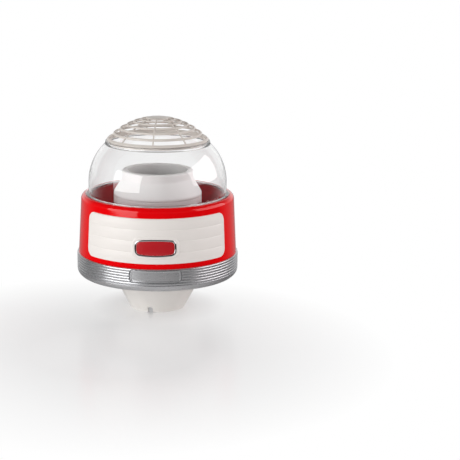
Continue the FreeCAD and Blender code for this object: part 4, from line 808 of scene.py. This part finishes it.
def make_front_panel():
    """White panel on the wall: height over the wall = quarter round of the edge x (edge + lift).

    Rows run up, columns round the front. A row's half angle draws in at the corners by the arc of
    the corner's round. Each of the bands bulges by pillow (1 - s^2), s from its middle to its edge,
    less a groove depth e^-(d / width)^2 at a distance d from its edge, and evens out towards the
    panel's edge. The badge's surround lifts the panel to one level, with a soft bead of the same
    form round it."""
    ends = np.linspace(0.0, 1.0, 26) ** 2
    rows = np.unique(np.concatenate([PANEL_FOOT + PANEL_ROUND * ends, PANEL_TOP - PANEL_ROUND * ends,
                                     np.linspace(PANEL_FOOT, PANEL_TOP, 150)]))
    sides = np.linspace(0.0, 1.0, 18) ** 2 * 0.06
    columns = np.unique(np.concatenate([-1.0 + sides, 1.0 - sides, np.linspace(-1.0, 1.0, 420)]))
    reach = np.minimum(rows - PANEL_FOOT, PANEL_TOP - rows)
    short = np.maximum(PANEL_ROUND - reach, 0.0)
    inset = PANEL_ROUND - np.sqrt(np.maximum(PANEL_ROUND ** 2 - short ** 2, 0.0))
    half_run = PANEL_HALF_ANGLE * wall_radius(rows) - inset
    run = columns[None, :] * half_run[:, None]
    up = np.broadcast_to(rows[:, None], run.shape)
    wall = wall_radius(up)
    turn = run / wall
    inside = -box_distance(run, up - PANEL_MIDDLE, PANEL_HALF_ANGLE * wall, PANEL_HALF_HEIGHT, PANEL_ROUND)
    band_height = 2.0 * PANEL_HALF_HEIGHT / PANEL_BANDS
    share = np.mod((up - PANEL_FOOT) / band_height, 1.0)
    pillow = PANEL_PILLOW * (1.0 - (2.0 * share - 1.0) ** 2)
    from_groove = np.minimum(share, 1.0 - share) * band_height
    pillow = pillow - GROOVE_DEPTH * np.exp(-(from_groove / GROOVE_WIDTH) ** 2)
    even = 0.5 * PANEL_PILLOW
    lift = even + smooth_step(inside, *PANEL_EVEN) * (pillow - even)
    rim = BADGE_FRAME + BADGE_SURROUND
    edge = bowed_distance(wall * np.sin(turn), up - BADGE_Z, BADGE_HALF_WIDTH + rim,
                          BADGE_HALF_HEIGHT + rim, BADGE_CORNER + rim, BADGE_BOW, BADGE_BOW)
    ahead = np.abs(turn) < SURROUND_TURN
    raised = (1.0 - smooth_step(edge, *SURROUND_EASE)) * ahead
    from_bead = edge + 0.5 * BADGE_SURROUND
    bead = SURROUND_BEAD * np.exp(-(from_bead / SURROUND_BEAD_WIDTH) ** 2) * ahead
    lift = lift + raised * (PANEL_PILLOW + BADGE_LEVEL - lift) + bead
    roll = np.sqrt(1.0 - (1.0 - np.clip(inside / PANEL_ROLL, 0.0, 1.0)) ** 2)
    radius = wall - PANEL_SINK + roll * (PANEL_EDGE + PANEL_SINK + lift)
    points = np.stack([radius * np.sin(turn), -radius * np.cos(turn), up], -1)
    panel = skin("panel_skin", [(np.swapaxes(points, 0, 1), False, False)])
    place(panel, "housing", "white_plastic", "front_panel")


def badge_outline(grow, count=220):
    """Closed outline of the badge grown all round: for each of count directions from its middle, the
    distance at which the bowed box's signed distance is 0, found by 40 halvings of a bracket."""
    turn = even_turns(count)
    low = np.zeros(count)
    high = np.full(count, 2.0 * BADGE_HALF_WIDTH)
    for halving in range(40):
        reach = 0.5 * (low + high)
        gap = bowed_distance(reach * np.cos(turn), reach * np.sin(turn), BADGE_HALF_WIDTH + grow,
                             BADGE_HALF_HEIGHT + grow, BADGE_CORNER + grow, BADGE_BOW, BADGE_BOW)
        low = np.where(gap < 0.0, reach, low)
        high = np.where(gap < 0.0, high, reach)
    return reach * np.cos(turn), reach * np.sin(turn)


def badge_points(grow, lift):
    """Points of the badge's outline, grown by grow, on the drum's front at a lift over the wall."""
    across, up = badge_outline(grow)
    height = BADGE_Z + up
    return on_front(across, height, wall_radius(height) + lift)


def make_badge():
    """Badge: a bright half-round frame carried round the outline, and a plain red plate that crowns
    towards its middle as lift = edge + crown (1 - s^2), s being the share of the way out."""
    rings = [badge_points(0.0, BADGE_SEAT - HOOP_SINK)]
    for angle in np.linspace(0.0, math.pi, 13):
        rings.append(badge_points(0.5 * BADGE_FRAME * (1.0 - math.cos(angle)),
                                  BADGE_SEAT + HOOP_RISE + HOOP_CROWN * math.sin(angle)))
    rings.append(badge_points(BADGE_FRAME, BADGE_SEAT - HOOP_SINK))
    hoop = skin("badge_hoop", [(np.stack(rings), False, True)])
    place(hoop, "housing", "chrome_trim", "badge_frame")
    across, up = badge_outline(0.0)
    shares = np.concatenate([[1.0], np.linspace(0.985, 0.0, 26)])
    lifts = BADGE_SEAT + PLATE_RISE + PLATE_CROWN * (1.0 - shares ** 2)
    lifts[0] = BADGE_SEAT - PLATE_SINK
    heights = BADGE_Z + np.outer(shares, up)
    points = on_front(np.outer(shares, across), heights, wall_radius(heights) + lifts[:, None])
    plate = skin("badge_face", [(points, False, True)])
    place(plate, "housing", "red_plastic", "badge_plate")


def make_trim_ring():
    """Silver ring: reeds over a plain bead, turned about the axis, with a smooth bay at the front.

    A reed's height is 1 - 0.45 s^2 - 0.55 s^12, s from its middle to its edge: a wide crown and a
    narrow groove. In the bay a point's radius goes to the bay's floor, eased over the bay's edge."""
    bead_radius = (RING_FOOT_INSET ** 2 + RING_BEAD ** 2) / (2.0 * RING_FOOT_INSET)
    bead = arc_points((RING_RADIUS - bead_radius, RING_BEAD_TOP), bead_radius,
                      -math.asin(RING_BEAD / bead_radius), 0.0, 22)
    pitch = (RING_TOP - RING_BEAD_TOP) / REED_COUNT * REED_RUN
    floor = RING_CORE - REED_GROOVE
    share = 0.5 - 0.5 * np.cos(np.linspace(0.0, math.pi, 23))
    aside = np.abs(2.0 * share - 1.0)
    crown = floor + (RING_RADIUS - floor) * (1.0 - 0.45 * aside ** 2 - 0.55 * aside ** 12)
    first = RING_BEAD_TOP + REED_GAP
    reeds = [np.stack([crown, first + pitch * (reed + share)], -1) for reed in range(REED_COUNT)]
    groove = np.array([(RING_RADIUS - 0.35, RING_BEAD_TOP + 0.02), (floor, first - 0.02)])
    edge = RING_CORE - RING_TOP_INSET
    top = rounded_profile([(edge, RING_TOP - RING_TOP_FACE), (edge, RING_TOP, 0.3), (RING_BORE, RING_TOP),
                           (RING_BORE, RING_TOP - RING_TOP_FACE)])[1:]
    rest = np.array([(RING_BORE, RING_LEDGE), (RING_SKIRT_IN, RING_LEDGE),
                     (RING_SKIRT_IN, RING_FOOT + RING_CHAMFER), (RING_SKIRT_IN + RING_CHAMFER, RING_FOOT)])
    profile = np.concatenate([bead, groove] + reeds + [top, rest])
    bay = math.asin((NAME_HALF_WIDTH + 0.5 * NAME_BOW) / RING_RADIUS)
    turns = finer_turns(300, [FRONT - bay, FRONT + bay], math.radians(1.6), 90)
    points = turned(profile, turns)
    across, depth, up = np.moveaxis(points, -1, 0)
    radius = np.hypot(across, depth)
    edge = bowed_distance(across, up - NAME_Z, NAME_HALF_WIDTH + BAY_WIDER, NAME_HALF_HEIGHT + BAY_HIGHER,
                          NAME_BOW, NAME_BOW, 0.0)
    outside = (depth < 0.0) * (radius > RING_CORE - RING_SKIN)
    inside = (1.0 - smooth_step(edge, -BAY_EASE, BAY_EASE)) * outside
    points[..., :2] *= (1.0 + inside * ((RING_CORE - BAY_DEPTH) / radius - 1.0))[..., None]
    ring = skin("reeded_ring", [(points, True, True)])
    place(ring, "housing", "silver_plastic", "trim_ring")


def make_nameplate():
    """Bare satin plate: rows up and columns across on the ring's front, its edge rolled down by a
    quarter round with a narrow rim inside it, and its ends bowed as half width + bow (1 - s^2)."""
    rows = np.linspace(-1.0, 1.0, 60)
    ends = np.linspace(0.0, 0.05, 20)
    columns = np.unique(np.concatenate([np.linspace(-1.0, 1.0, 120), 1.0 - ends, ends - 1.0]))
    up = np.broadcast_to((rows * NAME_HALF_HEIGHT)[:, None], (len(rows), len(columns)))
    wide = NAME_HALF_WIDTH + NAME_BOW * (1.0 - (up / NAME_HALF_HEIGHT) ** 2)
    across = columns[None, :] * wide
    inside = -bowed_distance(across, up, NAME_HALF_WIDTH, NAME_HALF_HEIGHT, 0.01, NAME_BOW, 0.0)
    roll = np.sqrt(1.0 - (1.0 - np.clip(inside / NAME_ROLL, 0.0, 1.0)) ** 2)
    step = NAME_STEP * smooth_step(inside, *NAME_RIM)
    radius = RING_CORE - NAME_SINK + roll * (REED_DEPTH + NAME_SINK) - step
    points = on_front(across, NAME_Z + up, radius)
    plate = skin("bare_plate", [(np.swapaxes(points, 0, 1), False, False)])
    place(plate, "housing", "silver_plastic", "nameplate")


def make_chimney():
    """White chimney: a spigot, a flare and an upright neck with a rounded rim, over an inner wall,
    turned about the axis."""
    bore_wall = CHIMNEY_BORE + TOWER_WALL
    neck_in = CHIMNEY_RADIUS - TOWER_WALL
    roof = CHIMNEY_TOP - 2.0 * TOWER_WALL
    profile = rounded_profile([
        (CHIMNEY_BORE, CHIMNEY_FOOT), (bore_wall, CHIMNEY_FOOT), (bore_wall, roof), (neck_in, roof),
        (neck_in, FLARE_TOP - 0.6), (SPIGOT_IN, FLARE_FOOT + 4.0), (SPIGOT_IN, SPIGOT_FOOT),
        (SPIGOT_OUT, SPIGOT_FOOT), (SPIGOT_OUT, TOWER_TOP), (TOWER_RADIUS, TOWER_TOP),
        (TOWER_RADIUS, FLARE_FOOT, 6.0), (CHIMNEY_RADIUS, FLARE_TOP, 8.0),
        (CHIMNEY_RADIUS, CHIMNEY_TOP, RIM_ROUND), (CHIMNEY_BORE, CHIMNEY_TOP, 0.5 * RIM_ROUND)], steps=8)
    chimney = lathe("chimney_skin", profile, 200)
    place(chimney, "housing", "white_plastic", "chimney")


finish_cad_nodes()
make_drum()
make_chute()
make_clear_dome()
make_vent_grille()
make_front_panel()
make_badge()
make_trim_ring()
make_nameplate()
make_chimney()


# Studio: a white table and room, two soft lights, and the photograph's view

CAMERA_PIXELS = 1430.0      # focal length in pixels of the photograph
PICTURE = 460.0             # pixels across the photograph
OBJECT_COLUMN = 157.75      # pixel column of the machine's axis
SENSOR = 36.0
CAMERA_REACH = 2.0844
CAMERA_HEIGHT = 0.6144
CAMERA_PITCH = math.radians(13.45)
CAMERA_SIDE = math.radians(1.6)
LIGHT_AIM = (0.0, 0.0, 0.15)    # point of the machine that the soft lights face
ROOM_LIGHT = 0.72
CEILING_LIGHT = 0.36
CEILING = (0.1, 0.9)        # upward parts of a direction between which the room turns to ceiling
BACKDROP = (0.4, 0.92)      # rearward parts of a direction between which the backdrop begins
BACKDROP_TOP = (0.2, 0.55)  # upward parts between which it ends
DARK_ROOM = 0.1             # how white gloss sees the rest of the room
THROUGH_LEAST = 0.6         # how white the room is through the dome, away from the backdrop
NEAR_WALL_LEAST = 0.3       # and where a ray turns back in the dome's near wall
BOTH_WALLS = 3.0            # faces of the dome past which a ray has left its near wall
TABLE_HALF = 6.0
TABLE_FAR = (0.1, 0.75)     # rearward parts of a place's direction between which the far table begins
TABLE_GLOSS = 0.3           # how white the far table is in gloss
TABLE_DARK = 0.02           # and the near table
# Painted shade: the table is whitened everywhere but a set patch in front of the machine, which keeps its
# lit grey with the real shadow in it.
SHADE_MIDDLE = (-0.05, -0.22, 0.0)  # middle of the part of the table that keeps its own grey
SHADE_REACH = (0.12, 0.38)  # distances from it between which the table turns to plain white
SHADE_WHITE = 0.3           # share of plain white in it
BASE_REACH = (0.045, 0.10)  # distances from the axis between which the shadow of the base ends
BASE_WHITE = 0.35           # share of plain white in that
UNDER_REACH = (0.038, 0.041)    # distances from the axis between which the base's inside ends
# Painted light: the table glows inside the hollow base, where it lies in shade, so that the notches look
# lit.
UNDER_PAINTED_LIGHT = 0.4           # share of plain white in there, seen through the base's notches


def make_camera():
    """The photograph's camera: it stands off the front by its reach, side and height, looks down by
    its pitch, and turns until the machine's axis is in its pixel column."""
    lens = bpy.data.cameras.new("photo_camera")
    lens.sensor_width = SENSOR
    lens.lens = CAMERA_PIXELS / PICTURE * SENSOR
    camera = bpy.data.objects.new("photo_camera", lens)
    bpy.context.scene.collection.objects.link(camera)
    stand = (CAMERA_REACH * math.sin(CAMERA_SIDE), -CAMERA_REACH * math.cos(CAMERA_SIDE), CAMERA_HEIGHT)
    aside = math.atan((PICTURE / 2 - OBJECT_COLUMN) / CAMERA_PIXELS)
    camera.matrix_world = (Matrix.Translation(stand) @ Matrix.Rotation(CAMERA_SIDE, 4, "Z")
                           @ Matrix.Rotation(math.pi / 2 - CAMERA_PITCH, 4, "X")
                           @ Matrix.Rotation(-aside, 4, "Y"))
    bpy.context.scene.camera = camera


def make_softbox(name, turn, rise, reach, width, height, power, tint=(1.0, 1.0, 1.0)):
    """Soft light at a turn from the front and a rise, both in degrees, about the point on the axis that
    it faces from its reach."""
    light = bpy.data.lights.new(name, "AREA")
    light.shape = "RECTANGLE"
    light.size = width
    light.size_y = height
    light.energy = power
    light.color = tint
    lamp = bpy.data.objects.new(name, light)
    bpy.context.scene.collection.objects.link(lamp)
    turn = math.radians(turn)
    rise = math.radians(rise)
    way = np.array([math.sin(turn) * math.cos(rise), -math.cos(turn) * math.cos(rise), math.sin(rise)])
    at = LIGHT_AIM + reach * way
    lamp.matrix_world = (Matrix.Translation(at) @ Matrix.Rotation(turn, 4, "Z")
                         @ Matrix.Rotation(math.pi / 2 - rise, 4, "X"))
    lamp.visible_camera = False


def seen_plainly(tree):
    """Sockets, each 0 or 1: seen by the camera itself, in gloss, and through the clear dome; and how
    white the room is at least through the dome, which is less where a ray turns back in its near wall."""
    path = tree.nodes.new("ShaderNodeLightPath")
    clean = maths(tree, "SUBTRACT", 1.0, maths(tree, "MINIMUM", path.outputs["Diffuse Depth"], 1.0))
    through = maths(tree, "MULTIPLY", path.outputs["Is Transmission Ray"], clean)
    glossy = maths(tree, "MULTIPLY", path.outputs["Is Glossy Ray"], maths(tree, "SUBTRACT", clean, through))
    past_both_walls = maths(tree, "GREATER_THAN", path.outputs["Transmission Depth"], BOTH_WALLS)
    least = spread(tree, past_both_walls, 0.0, 1.0, NEAR_WALL_LEAST, THROUGH_LEAST)
    return path.outputs["Is Camera Ray"], glossy, through, least


def make_room():
    """White room: plain white where it is seen, softer where it lights the machine. Gloss sees a low
    white backdrop behind the machine and a dark room elsewhere, as in a studio."""
    world = bpy.data.worlds.new("studio")
    bpy.context.scene.world = world
    world.use_nodes = True
    tree = world.node_tree
    backdrop = tree.nodes["Background"]
    seen, glossy, through, least = seen_plainly(tree)
    sight = tree.nodes.new("ShaderNodeTexCoord").outputs["Generated"]
    way = node(tree, "ShaderNodeSeparateXYZ", {0: sight})
    low = spread(tree, way.outputs["Z"], *BACKDROP_TOP, 1.0, DARK_ROOM)
    behind = maths(tree, "MULTIPLY", spread(tree, way.outputs["Y"], *BACKDROP, DARK_ROOM, 1.0), low)
    room = spread(tree, way.outputs["Z"], *CEILING, ROOM_LIGHT, CEILING_LIGHT)
    mirrored = node(tree, "ShaderNodeMix", {"Factor": glossy, "A": room, "B": behind}).outputs["Result"]
    beyond = spread(tree, way.outputs["Y"], *BACKDROP, least, 1.0)
    lit = node(tree, "ShaderNodeMix", {"Factor": through, "A": mirrored, "B": beyond}).outputs["Result"]
    strength = node(tree, "ShaderNodeMix", {"Factor": seen, "A": lit, "B": 1.0})
    tree.links.new(strength.outputs["Result"], backdrop.inputs["Strength"])
    backdrop.inputs["Color"].default_value = (1.0, 1.0, 1.0, 1.0)


def make_table():
    """White table: a soft gloss that holds the shadow, fading to plain white away from the machine, with
    painted shade in a set patch in front of it and painted light inside the hollow base.
    """
    corners = [(x * TABLE_HALF, y * TABLE_HALF, 0.0) for x, y in [(-1, -1), (1, -1), (1, 1), (-1, 1)]]
    mesh = bpy.data.meshes.new("table")
    mesh.from_pydata(corners, [], [(0, 1, 2, 3)])
    table = bpy.data.objects.new("table", mesh)
    bpy.context.scene.collection.objects.link(table)
    finish, tree, shader = new_finish("table_white")
    tone = add_group(tree, TONE, Colour=(0.90, 0.90, 0.90, 1.0), Shade=(0.885, 0.885, 0.887, 1.0), Dust=0.0)
    tree.links.new(tone.outputs["Colour"], shader.inputs["Base Color"])
    shader.inputs["Roughness"].default_value = 0.22
    shader.inputs["IOR"].default_value = 1.55
    seen, glossy, through, least = seen_plainly(tree)
    spot = object_place(tree)
    way = node(tree, "ShaderNodeVectorMath", {0: spot}, operation="NORMALIZE")
    way = node(tree, "ShaderNodeSeparateXYZ", {0: way.outputs[0]})
    behind = spread(tree, way.outputs["Y"], *TABLE_FAR, TABLE_DARK, TABLE_GLOSS)
    beyond = maths(tree, "MULTIPLY", through, spread(tree, way.outputs["Y"], *TABLE_FAR, least, 1.0))
    strength = maths(tree, "ADD", seen, maths(tree, "MULTIPLY_ADD", glossy, behind, beyond))
    glow = node(tree, "ShaderNodeEmission", {"Color": (1.0, 1.0, 1.0, 1.0), "Strength": strength})
    # Painted shade: a set patch in front of the machine and a ring round the base keep the table's lit
    # grey, real shadow included.
    away = node(tree, "ShaderNodeVectorMath", {0: spot, 1: SHADE_MIDDLE}, operation="DISTANCE")
    from_axis = node(tree, "ShaderNodeVectorMath", {0: spot}, operation="LENGTH").outputs["Value"]
    near = maths(tree, "MULTIPLY", spread(tree, from_axis, *BASE_REACH, BASE_WHITE, 1.0),
                 spread(tree, away.outputs["Value"], *SHADE_REACH, SHADE_WHITE, 1.0))
    # Painted light: a white glow on the table inside the hollow base, seen through its notches.
    under = spread(tree, from_axis, *UNDER_REACH, UNDER_PAINTED_LIGHT, 0.0)
    plainly = maths(tree, "ADD", seen, maths(tree, "ADD", glossy, through))
    fade = maths(tree, "MULTIPLY", maths(tree, "MAXIMUM", near, under), plainly)
    plain = node(tree, "ShaderNodeMixShader", {"Fac": fade, 1: shader.outputs[0], 2: glow.outputs[0]})
    tree.links.new(plain.outputs[0], tree.nodes["Material Output"].inputs["Surface"])
    mesh.materials.append(finish)


make_camera()
make_room()
make_table()
make_softbox("left_softbox", turn=-50.0, rise=11.5, reach=0.95, width=0.83, height=0.62, power=4.6)
make_softbox("right_softbox", turn=90.0, rise=20.0, reach=1.6, width=1.8, height=1.0, power=12.0,
             tint=(1.0, 0.94, 0.95))
bpy.context.scene.view_settings.view_transform = "Standard"
